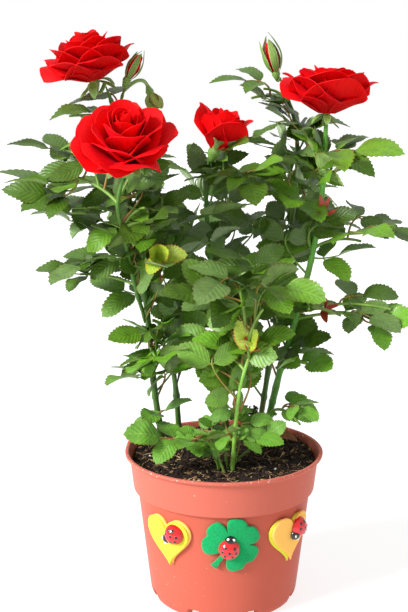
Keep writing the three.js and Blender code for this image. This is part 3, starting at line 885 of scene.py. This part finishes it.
def soil_height(x, y):
    """Top of the compost: rough, heaped towards the back, and drawn down a little at its edge."""
    reach = math.hypot(x, y) / BAND_TOP_RADIUS
    rough = 1.5 * wander(x / 7, y / 7, 3.1) + 0.9 * wander(x / 3, y / 3, 8.2)
    rough = rough + 0.5 * wander(x / 1.4, y / 1.4, 1.7)
    heap = 2.2 * float(smooth(0, 50, y))
    wave = SOIL_WAVE * wander(x / 22, y / 22, 0.4)
    return SOIL_TOP + heap + wave + 1.6 * reach**2 + rough - 1.2 * reach**8


def make_soil(material):
    """The top of the compost: a rough closed disc that fills the band of the pot."""
    rings, sides = SOIL_RINGS, SOIL_SIDES
    edge = BAND_TOP_RADIUS - WALL - 0.9
    deep = BAND_FOOT - 2
    points = [(0, 0, soil_height(0, 0))]
    for ring in range(1, rings + 1):
        for k in range(sides):
            radius, turn = edge * ring / rings, 2 * math.pi * (k + 0.5 * (ring % 2)) / sides
            x, y = on_ring(radius, turn)
            points.append((x, y, soil_height(x, y)))
    for k in range(sides):
        turn = 2 * math.pi * k / sides
        low = wall_radius(deep) - WALL - 0.6
        points.append((*on_ring(low, turn), deep))
    points.append((0, 0, deep))
    into = Gathering()
    into.add(points, capped_rings(rings + 1, sides, True))
    return into.piece("compost", [material], "compost", ["soil"])


SCATTER_SETTINGS = ("Per square metre", "Smallest", "Largest", "Roughening", "Seed")


def scatter_tree(name, material):
    """Grains strewn over a surface's upward faces: lumps of random size and turn, then roughened."""
    tree = bpy.data.node_groups.new(name, "GeometryNodeTree")
    tree.interface.new_socket("Ground", in_out="INPUT", socket_type="NodeSocketGeometry")
    for label in SCATTER_SETTINGS:
        kind = "NodeSocketInt" if label == "Seed" else "NodeSocketFloat"
        tree.interface.new_socket(label, in_out="INPUT", socket_type=kind)
    tree.interface.new_socket("Grains", in_out="OUTPUT", socket_type="NodeSocketGeometry")
    given = add_node(tree, "NodeGroupInput").outputs
    normal = add_node(tree, "GeometryNodeInputNormal").outputs[0]
    rise = add_node(tree, "ShaderNodeSeparateXYZ", {0: normal}).outputs[2]
    upward = add_node(
        tree, "FunctionNodeCompare", {"data_type": "FLOAT", "operation": "GREATER_THAN", 0: rise, 1: 0.2}
    )
    spots = add_node(
        tree, "GeometryNodeDistributePointsOnFaces",
        {
            "Mesh": given["Ground"], "Selection": upward.outputs[0],
            "Density": given["Per square metre"], "Seed": given["Seed"],
        },
    )
    lump = add_node(tree, "GeometryNodeMeshIcoSphere", {"Radius": 1.0, "Subdivisions": 1})
    size = add_node(
        tree, "FunctionNodeRandomValue",
        {"data_type": "FLOAT", 2: given["Smallest"], 3: given["Largest"], "Seed": given["Seed"]},
    )
    stretch, turn = (
        add_node(
            tree, "FunctionNodeRandomValue",
            {"data_type": "FLOAT_VECTOR", 0: low, 1: high, "Seed": given["Seed"]},
        )
        for low, high in (((0.6, 0.6, 0.35), (1.3, 1.1, 0.9)), ((-0.6, -0.6, 0), (0.6, 0.6, 6.28)))
    )
    sized = add_node(
        tree, "ShaderNodeVectorMath",
        {"operation": "SCALE", 0: stretch.outputs[0], "Scale": size.outputs[1]},
    )
    strewn = add_node(
        tree, "GeometryNodeInstanceOnPoints",
        {
            "Points": spots.outputs["Points"], "Instance": lump.outputs["Mesh"],
            "Rotation": turn.outputs[0], "Scale": sized.outputs[0],
        },
    )
    made = add_node(tree, "GeometryNodeRealizeInstances", {0: strewn.outputs[0]})
    place = add_node(tree, "GeometryNodeInputPosition").outputs[0]
    rough = add_node(tree, "ShaderNodeTexNoise", {"Scale": 420.0, "Detail": 2.0, "Vector": place})
    centred = add_node(
        tree, "ShaderNodeVectorMath", {"operation": "SUBTRACT", 0: rough.outputs[1], 1: (0.5, 0.5, 0.5)}
    )
    push = add_node(
        tree, "ShaderNodeVectorMath",
        {"operation": "SCALE", 0: centred.outputs[0], "Scale": given["Roughening"]},
    )
    shaken = add_node(
        tree, "GeometryNodeSetPosition", {"Geometry": made.outputs[0], "Offset": push.outputs[0]}
    )
    coated = add_node(
        tree, "GeometryNodeSetMaterial", {"Material": material, "Geometry": shaken.outputs[0]}
    )
    add_node(tree, "NodeGroupOutput", {0: coated.outputs[0]})
    return tree


def scatter(ground, name, material, *values):
    """Runs a scatter tree on a copy of the ground and keeps its grains as a plain mesh."""
    tree = scatter_tree(name, material)
    carrier = bpy.data.objects.new(name + "_ground", ground.data.copy())
    bpy.context.scene.collection.objects.link(carrier)
    modifier = carrier.modifiers.new("grains", "NODES")
    modifier.node_group = tree
    settings = dict(zip(SCATTER_SETTINGS, values))
    for item in tree.interface.items_tree:
        if item.item_type == "SOCKET" and item.in_out == "INPUT" and item.name in settings:
            modifier[item.identifier] = settings[item.name]
    graph = bpy.context.evaluated_depsgraph_get()
    mesh = bpy.data.meshes.new_from_object(carrier.evaluated_get(graph))
    mesh.name = name
    bpy.data.objects.remove(carrier)
    if not mesh.materials:
        mesh.materials.append(material)
    mesh.polygons.foreach_set("use_smooth", np.full(len(mesh.polygons), False))
    settle(bpy.data.objects.new(name, mesh))


# ---- Ornaments ----


def heart_outline(size):
    """A lopsided heart with a curved tip, as points round its middle."""
    made = []
    for k in range(HEART_POINTS):
        t = 2 * math.pi * k / HEART_POINTS
        x = 16 * math.sin(t) ** 3
        z = 13 * math.cos(t) - 5 * math.cos(2 * t) - 2 * math.cos(3 * t) - math.cos(4 * t)
        x += 1.6 * max(0.0, -z / 17) ** 2
        made.append((x * size / 33, (z + 2.4) * size / 30.5))
    return made


def clover_outline(size):
    """Three heart-shaped leaflets round a short gap on the lower left, where the stalk is."""
    made = []
    for k in range(CLOVER_POINTS):
        turn = 360 * k / CLOVER_POINTS
        best = 7.0
        for heading in (158, 52, -54):
            off = (turn - heading + 180) % 360 - 180
            if abs(off) < 55:
                notch = 0.12 * math.exp(-((off / 9) ** 2))
                side = (1 - (abs(off) / 55) ** 8) ** 0.5
                best = max(best, size * (1 - notch) * side)
        made.append(on_ring(best, math.radians(turn)))
    return made


def on_wall(across, up, out, angle):
    """A place on the pot's wall: across and up from an ornament's middle, out from the wall's skin."""
    height = ORNAMENT_HEIGHT + up
    radius = wall_radius(height) + out
    turn = math.radians(angle) + across / wall_radius(ORNAMENT_HEIGHT)
    return vec(radius * math.sin(turn), -radius * math.cos(turn), height)


def foam_sheet(into, outline, angle, low, thickness, shift=(0, 0), rings=7):
    """A die-cut sheet that follows the wall, with its front edge a little rounded."""
    count = len(outline)
    layers = []
    for share in np.linspace(0.12, 0.93, rings):
        layers.append((share, low + thickness))
    layers += [(0.975, low + thickness * 0.95), (1.0, low + thickness * 0.72), (1.0, low)]
    points = [on_wall(shift[0], shift[1], low + thickness, angle)]
    for share, out in layers:
        points += [on_wall(shift[0] + x * share, shift[1] + z * share, out, angle) for x, z in outline]
    points.append(on_wall(shift[0], shift[1], low, angle))
    faces = capped_rings(len(layers), count, False)
    # Outlines run either way round, so the winding follows the outline's own sense.
    area = sum(a[0] * b[1] - b[0] * a[1] for a, b in zip(outline, outline[1:] + outline[:1]))
    into.add(points, faces if area < 0 else [face[::-1] for face in faces])


def dome(into, centre, axes, radius, tall, rings=12, sides=36):
    """Half an egg on its flat side."""
    side, ahead, up = axes
    points = [centre + up * tall]
    for ring in range(1, rings + 1):
        slope = math.pi / 2 * ring / rings
        for k in range(sides):
            turn = 2 * math.pi * k / sides
            flat = swing(side, ahead, turn) * radius * math.sin(slope)
            points.append(centre + flat + up * tall * math.cos(slope))
    points.append(centre)
    into.add(points, capped_rings(rings, sides, True))


# How far each ladybird's seat stands out from the wall.
GLUED_HEIGHT = {
    "left": GLUE + 2 * FOAM_THICKNESS, "middle": GLUE + CLOVER_THICKNESS, "right": GLUE + 2 * FOAM_THICKNESS,
}
LADYBIRDS = [
    # name, angle round the pot, across and up from the ornament's middle, and heading
    ("left", HEART_LEFT_ANGLE, 7, 4.3, 215),
    ("middle", CLOVER_ANGLE, -1.5, -2, 82),
    ("right", HEART_RIGHT_ANGLE, 5, 3.8, 225),
]


def ladybird(red, black, white, name, angle, across, up, heading):
    """A painted wooden ladybird: a spotted dome with a head and two bead eyes."""
    lift = GLUED_HEIGHT[name]
    seat = on_wall(across, up, lift, angle)
    out = unit(on_wall(across, up, lift + 1, angle) - seat)
    right = unit(np.cross(vec(0, 0, 1), out))
    rise = np.cross(out, right)
    turn = math.radians(heading)
    ahead = swing(right, rise, turn)
    side = np.cross(ahead, out)
    dome(red, seat, (side, ahead, out), LADYBIRD_RADIUS, LADYBIRD_TALL)
    head = seat + ahead * LADYBIRD_RADIUS * 0.86
    dome(black, head, (side, ahead, out), 3.5, 3.9, rings=8, sides=24)
    for turn_side in (-1, 1):
        spot = head + ahead * 1.5 + side * turn_side * 1.7 + out * 2.7
        dome(white, spot, (side, ahead, unit(out + ahead * 0.7)), 0.95, 0.8, rings=5, sides=14)
    for x, y in LADYBIRD_DOTS:
        reach = math.hypot(x, y)
        slope = math.asin(min(0.98, reach))
        flat = side * x + ahead * y
        point = seat + flat * LADYBIRD_RADIUS + out * LADYBIRD_TALL * math.cos(slope)
        normal = unit(flat / LADYBIRD_RADIUS + out * math.cos(slope) / LADYBIRD_TALL)
        tangent = unit(np.cross(normal, ahead + side * 0.01))
        frame_of = (tangent, np.cross(normal, tangent), normal)
        dome(black, point - normal * 0.35, frame_of, 1.1, 0.58, rings=5, sides=18)


def make_ornaments():
    """Two foam hearts of two layers each, a felt clover with its stalk, and a ladybird on each of them."""
    yellow, orange, right_yellow, right_orange, green, red, black, white = (Gathering() for _ in range(8))
    heart = heart_outline(HEART_SIZE)
    for sheet, angle, low, across, up in (
        (orange, HEART_LEFT_ANGLE, GLUE, 1.0, 0.6),
        (yellow, HEART_LEFT_ANGLE, GLUE + FOAM_THICKNESS, -0.3, -0.2),
        (right_yellow, HEART_RIGHT_ANGLE, GLUE, -1.2, -0.5),
        (right_orange, HEART_RIGHT_ANGLE, GLUE + FOAM_THICKNESS, 0.4, 0.3),
    ):
        foam_sheet(sheet, heart, angle, low, FOAM_THICKNESS, (across, up - HEART_DROP))
    foam_sheet(green, clover_outline(CLOVER_SIZE), CLOVER_ANGLE, GLUE, CLOVER_THICKNESS)
    # The stalk's reach from the clover's middle and its half width, turned to point to the lower left.
    stalk = ((2, 1.5), (9, 1.3), (15, 1.5), (18.6, 2.2))
    outline = list(stalk) + [(r, -w) for r, w in reversed(stalk)]
    stalk_middle = 10
    cos_turn, sin_turn = on_ring(1, math.radians(CLOVER_STALK_TURN))
    turned = [
        ((r - stalk_middle) * cos_turn - w * sin_turn, (r - stalk_middle) * sin_turn + w * cos_turn)
        for r, w in outline
    ]
    middle = on_ring(stalk_middle, math.radians(CLOVER_STALK_TURN))
    foam_sheet(green, turned, CLOVER_ANGLE, STALK_GLUE, STALK_THICKNESS, middle, rings=4)
    for name, angle, across, up, heading in LADYBIRDS:
        ladybird(red, black, white, name, angle, across, up, heading)
    foam = {"Roughness": 0.85, "IOR": 1.4, "Specular IOR Level": 0.2}
    felt = {
        "Roughness": 0.95, "IOR": 1.4, "Specular IOR Level": 0.1, "Sheen Weight": 0.3, "Sheen Roughness": 0.5,
    }
    enamel = {"Roughness": 0.16, "IOR": 1.5, "Coat Weight": 0.6, "Coat Roughness": 0.06}
    # Ethylene-vinyl acetate craft foam: matt, with cells too fine to show, so drawn at half a millimetre.
    yellow_foam = mottled_material("yellow craft foam", ("#DCDA3C", "#E4E24C"), 0.5, foam, 0.25, 0.15)
    orange_foam = mottled_material("orange craft foam", ("#FFC05E", "#FFC96A"), 0.5, foam, 0.25, 0.15)
    # Pressed wool felt: a soft, fibrous skin with a bloom of loose hair at grazing angles.
    green_felt = mottled_material("green wool felt", ("#008F4C", "#06AA62"), 0.9, felt, 0.7, 0.4, 6.0)
    # Brushed-on enamel over turned wood: a glossy skin with slow waves.
    red_enamel = mottled_material("red enamel on wood", ("#D5141C", "#DC1E22"), 6.0, enamel, 0.05, 0.3)
    black_enamel = mottled_material("black enamel on wood", ("#0B0908", "#171310"), 6.0, enamel, 0.05, 0.3)
    white_enamel = mottled_material("white enamel beads", ("#F4F0E8", "#FFFFFF"), 3.0, enamel, 0.05, 0.2)
    orange.piece("heart_left_backing", [orange_foam], "orange_foam")
    yellow.piece("heart_left_front", [yellow_foam], "yellow_foam", ["heart_left"])
    right_yellow.piece("heart_right_backing", [yellow_foam], "yellow_foam")
    right_orange.piece("heart_right_front", [orange_foam], "orange_foam", ["heart_right"])
    green.piece("clover_felt", [green_felt], "green_foam", ["shamrock"])
    bodies, heads = ([f"ladybird_{n[0]}_{part}" for n in LADYBIRDS] for part in ("body", "head"))
    red.piece("ladybird_wings", [red_enamel], "red_enamel", bodies)
    black.piece("ladybird_heads", [black_enamel], "black_enamel", heads)
    white.piece("ladybird_eyes", [white_enamel], "black_enamel")


# ---- Build: pot, soil and ornaments ----

peat = mottled_material(
    "moist peat compost", ("#0E0805", "#22150D"), 3.0, {"Roughness": 0.9, "IOR": 1.4}, 0.8, 1.2, 6.0
)
crumb = mottled_material("peat crumbs", ("#130B07", "#2E1D12"), 2.2, {"Roughness": 0.9, "IOR": 1.4}, 0.6, 0.8)
bark_chip = mottled_material(
    "bark fibre", ("#4A3020", "#A4845A"), 2.0, {"Roughness": 0.85, "IOR": 1.4}, 0.6, 0.6
)
pearl = mottled_material("perlite", ("#CFC8BC", "#F4F1EA"), 1.5, {"Roughness": 0.8, "IOR": 1.5}, 0.6, 0.5)
make_pot()
soil = make_soil(peat)
# name, material, grains per square metre, smallest, largest and roughening in metres, and seed
for grains in (
    ("compost_crumbs", crumb, 230000.0, 0.0009, 0.0024, 0.0022, 4),
    ("bark_chips", bark_chip, 30000.0, 0.0006, 0.0022, 0.0012, 9),
    ("perlite_grains", pearl, 3600.0, 0.0006, 0.0015, 0.0012, 21),
):
    scatter(soil, *grains)
make_ornaments()

# ---- Build: limbs ----

green_bark = bark_material("green rose bark", "#3F5F24", "#4F7C2C", "#7A5230")
# The right cane's bark is painted a brighter green: painted light, for the light that cane catches.
painted_light_bark = bark_material("green rose bark painted lighter", "#4A7A2A", "#62A83A", "#7A6A30")
young_bark = bark_material("young rose bark", "#7FB345", "#86BC4C", "#B0563A")
LIMBS = {}
wood, painted_light_wood = Gathering(), Gathering()
for index, name in enumerate(CANES + BOUGHS):
    LIMBS[name] = grow_limb(painted_light_wood if name == "cane_right" else wood, name, LIMB_SEED + index * 7)
wood.piece("canes_and_boughs", [green_bark], "canes", [n for n in CANES + BOUGHS if n != "cane_right"])
# The right cane takes the bark painted brighter, as painted light.
painted_light_wood.piece("painted_light_cane", [painted_light_bark], "canes", ["cane_right"])
shoot_wood = Gathering()
LIMBS["shoot_front"] = grow_limb(shoot_wood, "shoot_front", SHOOT_SEED)
shoot_wood.piece("young_shoot", [young_bark], "young_shoot", ["shoot_front"])

limb_points = np.vstack(list(LIMBS.values()))
limb_points = limb_points[limb_points[:, 2] > 100]

# ---- Build: blooms and buds ----

BLOOMS = [
    # name, heading, across, tall, petals, seed, openness, petal point, and the lean and size of its sepals
    ("bloom_front", (0.03, -0.62, 0.78), 57, 38, 30, 5, 0.88, 0.1, 120, 0.9),
    ("bloom_left", (-0.24, -0.12, 0.96), 60, 31, 28, 8, 0.98, 0.18, 126, 0.9),
    ("bloom_right", (0.03, -0.06, 1.0), 62, 28, 28, 12, 0.86, 0.14, 118, 0.7),
    ("bloom_middle", (0.3, -0.1, 0.95), 37, 27, 15, 3, 0.62, 0.16, 46, 1.15),
]
BUDS = [
    # name, heading, across, tall, seed, where the first sepal stands off in radians, sepal width and look
    ("bud_right", (-0.25, -0.1, 0.96), 15, 21, 4, 0.62, 0.34, 0),
    ("bud_left", (0.5, 0.0, 0.87), 10, 18, 7, 5.7, 0.38, 0),
    ("bud_small", (0.35, 0.0, -0.94), 12, 10, 9, 0.5, 0.8, 1),
]
petal_red = petal_material("velvet red petal", "#F20609", "#FF3468", "#D8000A", "#EC080E")
deep_red = petal_material("deep velvet red petal", "#E60608", "#F83060", "#C40008", "#DC080E")
sepal_green = leaf_material("rose sepal", "#6C9636", "#8CAC5C", "#A6BE70", "#E0E4C4", 0.6, 0.55)
sepal_dry = leaf_material("drying rose sepal", "#93A040", "#9A8C48", "#A89A50", "#7C4A24", 0.8, 0.6)
greens = Gathering()
for name, heading, across, tall, count, seed, openness, point, lean, sepal_size in BLOOMS:
    flower = Gathering()
    base, axes = rose(flower, box_mm(name)[0], heading, across, tall, count, seed, openness, point)
    red = deep_red if name in ("bloom_left", "bloom_right") else petal_red
    flower.piece(name + "_petals", [red], "petals", [name])
    calyx(greens, base - axes[2] * 0.5, axes, sepal_size, lean, seed)
    pedicel(greens, base - axes[2] * 6.5, axes[2])
bud_petals = Gathering()
for name, heading, across, tall, seed, gap, wide, look in BUDS:
    base, axes = bud(bud_petals, greens, box_mm(name)[0], heading, across, tall, seed, gap, wide, look)
    pedicel(greens, base - axes[2] * 5.5, axes[2])
bud_petals.piece("bud_petals", [petal_red], "petals", [b[0] for b in BUDS])
greens.piece("sepals_and_cups", [sepal_green, sepal_dry], "sepals")

# ---- Build: foliage ----

LEAF_LOOKS = [
    leaf_material("dark rose leaf", "#486B12", "#76924A", "#5C8226", "#5E4A1C", 0.4, 0.42),
    leaf_material("green rose leaf", "#5F8E1C", "#84A456", "#749E30", "#76601E", 0.4, 0.44),
    leaf_material("bright rose leaf", "#68A024", "#94B860", "#7AAA34", "#847028", 0.4, 0.46),
    leaf_material("grey-green rose leaf", "#62823F", "#9CB488", "#809A5E", "#6E6038", 0.4, 0.42),
]
YOUNG_LOOKS = [
    leaf_material("young rose leaf", "#60952A", "#90B45C", "#94BA4E", "#7A4A24", 0.3, 0.5),
    leaf_material("lime rose leaf", "#A4BC30", "#B4C860", "#C4D258", "#C8402A", 0.75, 0.5),
    leaf_material("red rose shoot", "#B83A24", "#B85A3C", "#D0563A", "#C81E1C", 0.5, 0.45),
    leaf_material("dried rose leaf", "#A5785A", "#B48C74", "#8C5A48", "#7A4636", 0.5, 0.8),
]
stalk_green = mottled_material("leaf stalk", ("#648C32", "#84A648"), 6.0, {"Roughness": 0.5, "IOR": 1.45})
stalk_red = mottled_material(
    "flushed leaf stalk", ("#84903C", "#94562E"), 8.0, {"Roughness": 0.5, "IOR": 1.45}
)

foliage = Foliage()
bloom_places = [(box_mm(name)[0], max(box_mm(name)[1])) for name, *_ in BLOOMS]
leaf_tips = []
YOUNG_MASSES = [n for n in MASSES if n.startswith("leaves_foot")]
# Blooms are kept clear of leaves as seen from this place, where the camera is. Leaves lean towards the
# light.
FRONT = vec(0, -600, 302)
LIGHT = unit(vec(-0.35, -0.75, 0.55))


def hides_bloom(point):
    """True if a leaf here would lie in a bloom, or hide its face from the front."""
    for centre, reach in bloom_places:
        sight = unit(FRONT - centre)
        ahead = np.dot(point - centre, sight)
        aside = np.linalg.norm(point - centre - sight * ahead)
        if np.linalg.norm(point - centre) < reach + 2 or (0 < ahead < BLOOM_SIGHT and aside < reach * 0.92):
            return True
    return False


def grow_twigs(centre, half, count, rng):
    """Twigs that leave the limbs and run into a mass."""
    grown = []
    for _ in range(count):
        aim = centre + half * drawn(rng.uniform, -0.35, 0.35)
        root = start_for(aim, limb_points, 22)
        if np.linalg.norm(aim - root) < 14:
            continue
        control = (root + aim) / 2 + vec(rng.uniform(-6, 6), rng.uniform(-6, 6), rng.uniform(2, 10))
        path = bend(root, control, aim, 12)
        tube(foliage.stalks, path, np.linspace(1.15, 0.8, 12), 6, 0)
        grown.append(path[2:9])
    return grown


def leaf_look(height, young, rng):
    """Which shade a spray takes: mostly dark in the upper crown, brighter lower down."""
    # Drawn for young leaves too, so that the draws after it stay the same.
    pick = rng.random()
    if young:
        return 0
    low = float(smooth(250, 140, height))
    shares = (0.62 - 0.56 * low, 0.28 + 0.18 * low, 0.44 * low**2)
    return next((n for n, edge in enumerate(np.cumsum(shares)) if pick < edge), 3)


def grow_mass(node, seed):
    """Fills a mass: twigs from the limbs, and compound leaves on both that reach out to its outline."""
    rng = random.Random(seed)
    centre, half = box_mm(node)
    young = node in YOUNG_MASSES
    starts = np.vstack([limb_points] + grow_twigs(centre, half, 1 if young else 2, rng))
    size = LEAFLET_LENGTH * (YOUNG_SIZE if young else 1.0)
    space = LEAF_SPACE * (LOW_SPACE if node.endswith("_low") else 1.0)
    count = max(3, round((half[0] * half[1] + half[1] * half[2] + half[0] * half[2]) / (space * size)))
    first = rng.uniform(0, 6.28)
    grown = 0
    for i in range(count * TRIES):
        outline = grown < count * OUTLINE_SHARE
        level = rng.uniform(-0.7, 0.95) if outline else rng.uniform(-1, 1)
        ring = math.sqrt(1 - level**2)
        azimuth = first + i * GOLDEN_TURN
        direction = vec(*on_ring(ring, azimuth), level)
        tip = centre + half * direction * (rng.uniform(0.98, 1.1) if outline else rng.uniform(0.4, 0.85))
        start = start_for(tip, starts, size * 1.3)
        crowded = any(np.linalg.norm(tip - other) < size * CROWDING for other in leaf_tips)
        too_long = np.linalg.norm(tip - start) > LONGEST_LEAF
        if crowded or too_long or hides_bloom(tip) or hides_bloom((tip + start) / 2):
            continue
        leaf_tips.append(tip)
        outward = unit(tip * vec(1, 1, 0) - vec(0, 15, 0))
        facing = 0.3 + 0.45 * (1 - float(smooth(205, 290, tip[2])))
        up = vec(0, 0, 0.8) + outward * 0.3 + LIGHT * facing + drawn(rng.uniform, -0.3, 0.3)
        higher = 1 if young else 0.88 + 0.27 * float(smooth(165, 270, tip[2]))
        length = size * rng.uniform(0.75, 1.3) * higher
        leaflets = rng.choice((3, 5, 5, 7) if young else (3, 5, 5))
        look = leaf_look(tip[2], young, rng)
        foliage.compound_leaf(start, tip, leaflets, length, unit(up), look, rng, young)
        grown += 1
        if grown >= count:
            break


def grow_tuft(limb, height, heading, reach, count, size, look, seed):
    """A side shoot: a flushed twig that leaves a limb at a height, with small leaves fanned round its end."""
    rng = random.Random(seed)
    path = LIMBS[limb]
    root = path[np.argmin(np.abs(path[:, 2] - height))]
    side, ahead, out = bloom_frame(heading)
    end = root + out * reach
    twig = bend(root, (root + end) / 2 - out * 2 + vec(0, 0, 3), end, 7)
    tube(foliage.stalks, twig, np.linspace(0.9, 0.5, 7), 6, 1)
    for k in range(count):
        turn = GOLDEN_TURN * k + rng.uniform(-0.3, 0.3)
        spread = math.radians(rng.uniform(16, 62))
        away = swing(out, swing(side, ahead, turn), spread)
        tip = end + away * size * rng.uniform(0.75, 1.2)
        foliage.blade(foliage.young, end, tip, out + LIGHT, look, rng, 0.5 if look > 1 else 1.0)


TUFTS = [
    # limb, height it leaves at, heading, twig's reach, leaves, their length, and the young leaves' look
    ("cane_left", 232, (0.5, -1.1, -0.1), 38, 4, 17, 1),
    ("cane_right", 244, (0.3, -0.8, 1.0), 12, 6, 12, 2),
    ("cane_right", 186, (0.9, -0.8, 0.35), 22, 4, 12, 2),
    ("shoot_front", 168, (0.0, -0.2, 1.0), 5, 4, 17, 1),
    ("shoot_front", 167, (0.3, -0.3, 1.0), 4, 3, 11, 2),
    ("cane_centre", 150, (0.3, -0.8, 0.3), 24, 6, 13, 3),
    ("cane_back_left", 140, (0.7, -0.6, 0.4), 26, 5, 12, 3),
    ("shoot_front", 150, (-0.9, 0.2, 0.5), 22, 5, 11, 3),
]
for index, node in enumerate(MASSES):
    grow_mass(node, LEAF_SEED + index * 13)
for index, tuft in enumerate(TUFTS):
    grow_tuft(*tuft, TUFT_SEED + index)


def grow_sprouts():
    """Thin new shoots that rise from the compost in a clump, each with a few small leaves at its end."""
    rng = random.Random(SPROUT_SEED)
    for _ in range(SPROUTS):
        x, y = rng.gauss(1, 5), rng.gauss(-16, 6)
        foot = vec(x, y, soil_height(x, y) - 2)
        lean = unit(vec(rng.gauss(0, 0.35), rng.gauss(-0.1, 0.25), 1))
        end = foot + lean * rng.uniform(16, 42)
        sway = vec(rng.gauss(0, 3), rng.gauss(0, 3), 0)
        tube(foliage.stalks, bend(foot, (foot + end) / 2 + sway, end, 8), np.linspace(0.95, 0.5, 8), 6, 0)
        for k in range(3):
            turn = 2.1 * k + rng.uniform(0, 2)
            away = unit(vec(*on_ring(1, turn), rng.uniform(0.1, 0.8)))
            foliage.blade(foliage.young, end, end + away * rng.uniform(9, 14), lean + LIGHT, 0, rng)


def make_litter():
    """What lies on the compost: a dead curled leaf, a tangle of dry roots, straw fibres and pale grit."""
    rng = random.Random(LITTER_SEED)
    litter = Gathering()
    for foot, tip in (((13, 33), (34, 31)), ((31, 32), (50, 17))):
        ends = [vec(x, y, soil_height(x, y) + 3.5) for x, y in (foot, tip)]
        leaflet(litter, *ends, 10.0, vec(0.1, -0.8, 0.6), 0, rng, 30, 0.24, 40, False)
    middle = vec(19, 14, 118)
    for _ in range(DRY_ROOTS):
        start = middle + drawn(rng.gauss, 0, 2.6)
        end = start + vec(rng.gauss(0, 4), rng.gauss(0, 4), rng.gauss(-1, 4))
        swung = (start + end) / 2 + drawn(rng.gauss, 0, 2)
        tube(litter, bend(start, swung, end, 5), [0.6, 0.5, 0.45, 0.35, 0.2], 5, 1)
    tube(litter, bend(vec(20, 16, 90), vec(23, 15, 104), middle, 8), np.linspace(0.8, 0.6, 8), 6, 1)
    for _ in range(FIBRES):
        reach, turn = 57 * math.sqrt(rng.random()), rng.uniform(0, 2 * math.pi)
        x, y = on_ring(reach, turn)
        away = vec(rng.gauss(0, 1), rng.gauss(0, 1), 0) * rng.uniform(1.2, 3.2)
        ends = [vec(x, y, 0) + away * k for k in (-1, 0, 1)]
        path = [
            vec(e[0], e[1], min(soil_height(e[0], e[1]) + rng.uniform(0.5, 1.6), POT_HEIGHT)) for e in ends
        ]
        if max(math.hypot(e[0], e[1]) for e in path) < 58.5:
            tube(litter, path, [0.18, 0.3, 0.15], 4, rng.choice((1, 2, 2, 3)))
    for _ in range(GRIT):
        turn, reach = math.radians(rng.gauss(-88, 24)), rng.gauss(57, 1.3)
        if reach < 59:
            x, y = on_ring(reach, turn)
            grit = vec(x, y, soil_height(x, y) + rng.uniform(0.3, 1.5))
            across = vec(rng.gauss(0, 1), rng.gauss(0, 1), rng.gauss(0, 0.5)) * 0.7
            tube(litter, [grit - across, grit, grit + across], [0.3, 0.6, 0.3], 5, 3)
    dead_leaf = mottled_material(
        "dead leaf", ("#6E3F28", "#A56C4C"), 3.0, {"Roughness": 0.75, "IOR": 1.4}, 0.6, 0.5
    )
    straw = mottled_material(
        "straw fibre", ("#9A7A50", "#CDB88A"), 4.0, {"Roughness": 0.8, "IOR": 1.4}, 0.3, 0.3
    )
    litter.piece("litter", [dead_leaf, crumb, bark_chip, straw], "canes")


grow_sprouts()
make_litter()
foliage.blades.piece("rose_leaves", LEAF_LOOKS, "leaves", [n for n in MASSES if n not in YOUNG_MASSES])
foliage.young.piece("young_rose_leaves", YOUNG_LOOKS, "young_leaves", YOUNG_MASSES)
foliage.stalks.piece("leaf_stalks", [stalk_green, stalk_red], "canes")

# ---- Floor, light and camera ----


def make_stage():
    """A matt white floor that runs out to the horizon."""
    mesh = bpy.data.meshes.new("floor")
    corners = ((-1, -1), (1, -1), (1, 1), (-1, 1))
    mesh.from_pydata([(x * FLOOR_REACH, y * FLOOR_REACH, FLOOR_DROP) for x, y in corners], [], [(0, 1, 2, 3)])
    floor = bpy.data.objects.new("floor", mesh)
    skin = Skin(
        "matt white floor", "#A0A0A0",
        {"Roughness": 0.9, "Emission Color": (1, 1, 1, 1), "Emission Strength": 0.75},
    )
    mesh.materials.append(skin.material)
    bpy.context.scene.collection.objects.link(floor)


def make_light():
    """A white backdrop, and one soft sun from the front left and above."""
    world = bpy.data.worlds.new("studio")
    world.use_nodes = True
    tree = world.node_tree
    sight = add_node(tree, "ShaderNodeLightPath")
    # The backdrop is pure white to look at, and lights the plant a little less than that.
    strength = add_node(
        tree, "ShaderNodeMapRange",
        {"To Min": AMBIENT, "To Max": 1.0, "Value": sight.outputs["Is Camera Ray"]},
    )
    background = tree.nodes["Background"]
    background.inputs["Color"].default_value = (1, 1, 1, 1)
    tree.links.new(strength.outputs[0], background.inputs["Strength"])
    bpy.context.scene.world = world
    sun = bpy.data.lights.new("soft key", "SUN")
    sun.energy = KEY
    sun.angle = math.radians(KEY_SPREAD)
    lamp = bpy.data.objects.new("soft key", sun)
    lamp.rotation_mode = "QUATERNION"
    lamp.rotation_quaternion = Vector(SUN_HEADING).to_track_quat("-Z", "Y")
    bpy.context.scene.collection.objects.link(lamp)


def make_camera():
    """The front view: level with the blooms and looking a little down."""
    lens = bpy.data.cameras.new("camera")
    lens.lens = LENS
    lens.sensor_width = SENSOR_WIDTH
    lens.clip_start = 0.01
    camera = bpy.data.objects.new("camera", lens)
    tilt, yaw = math.radians(CAMERA_TILT), math.radians(CAMERA_YAW)
    forward = Vector((math.sin(yaw) * math.cos(tilt), math.cos(yaw) * math.cos(tilt), -math.sin(tilt)))
    camera.location = CAMERA_PLACE
    camera.rotation_mode = "QUATERNION"
    camera.rotation_quaternion = forward.to_track_quat("-Z", "Y")
    bpy.context.scene.collection.objects.link(camera)
    bpy.context.scene.camera = camera


make_stage()
make_light()
make_camera()
bpy.context.scene.view_settings.view_transform = "Standard"
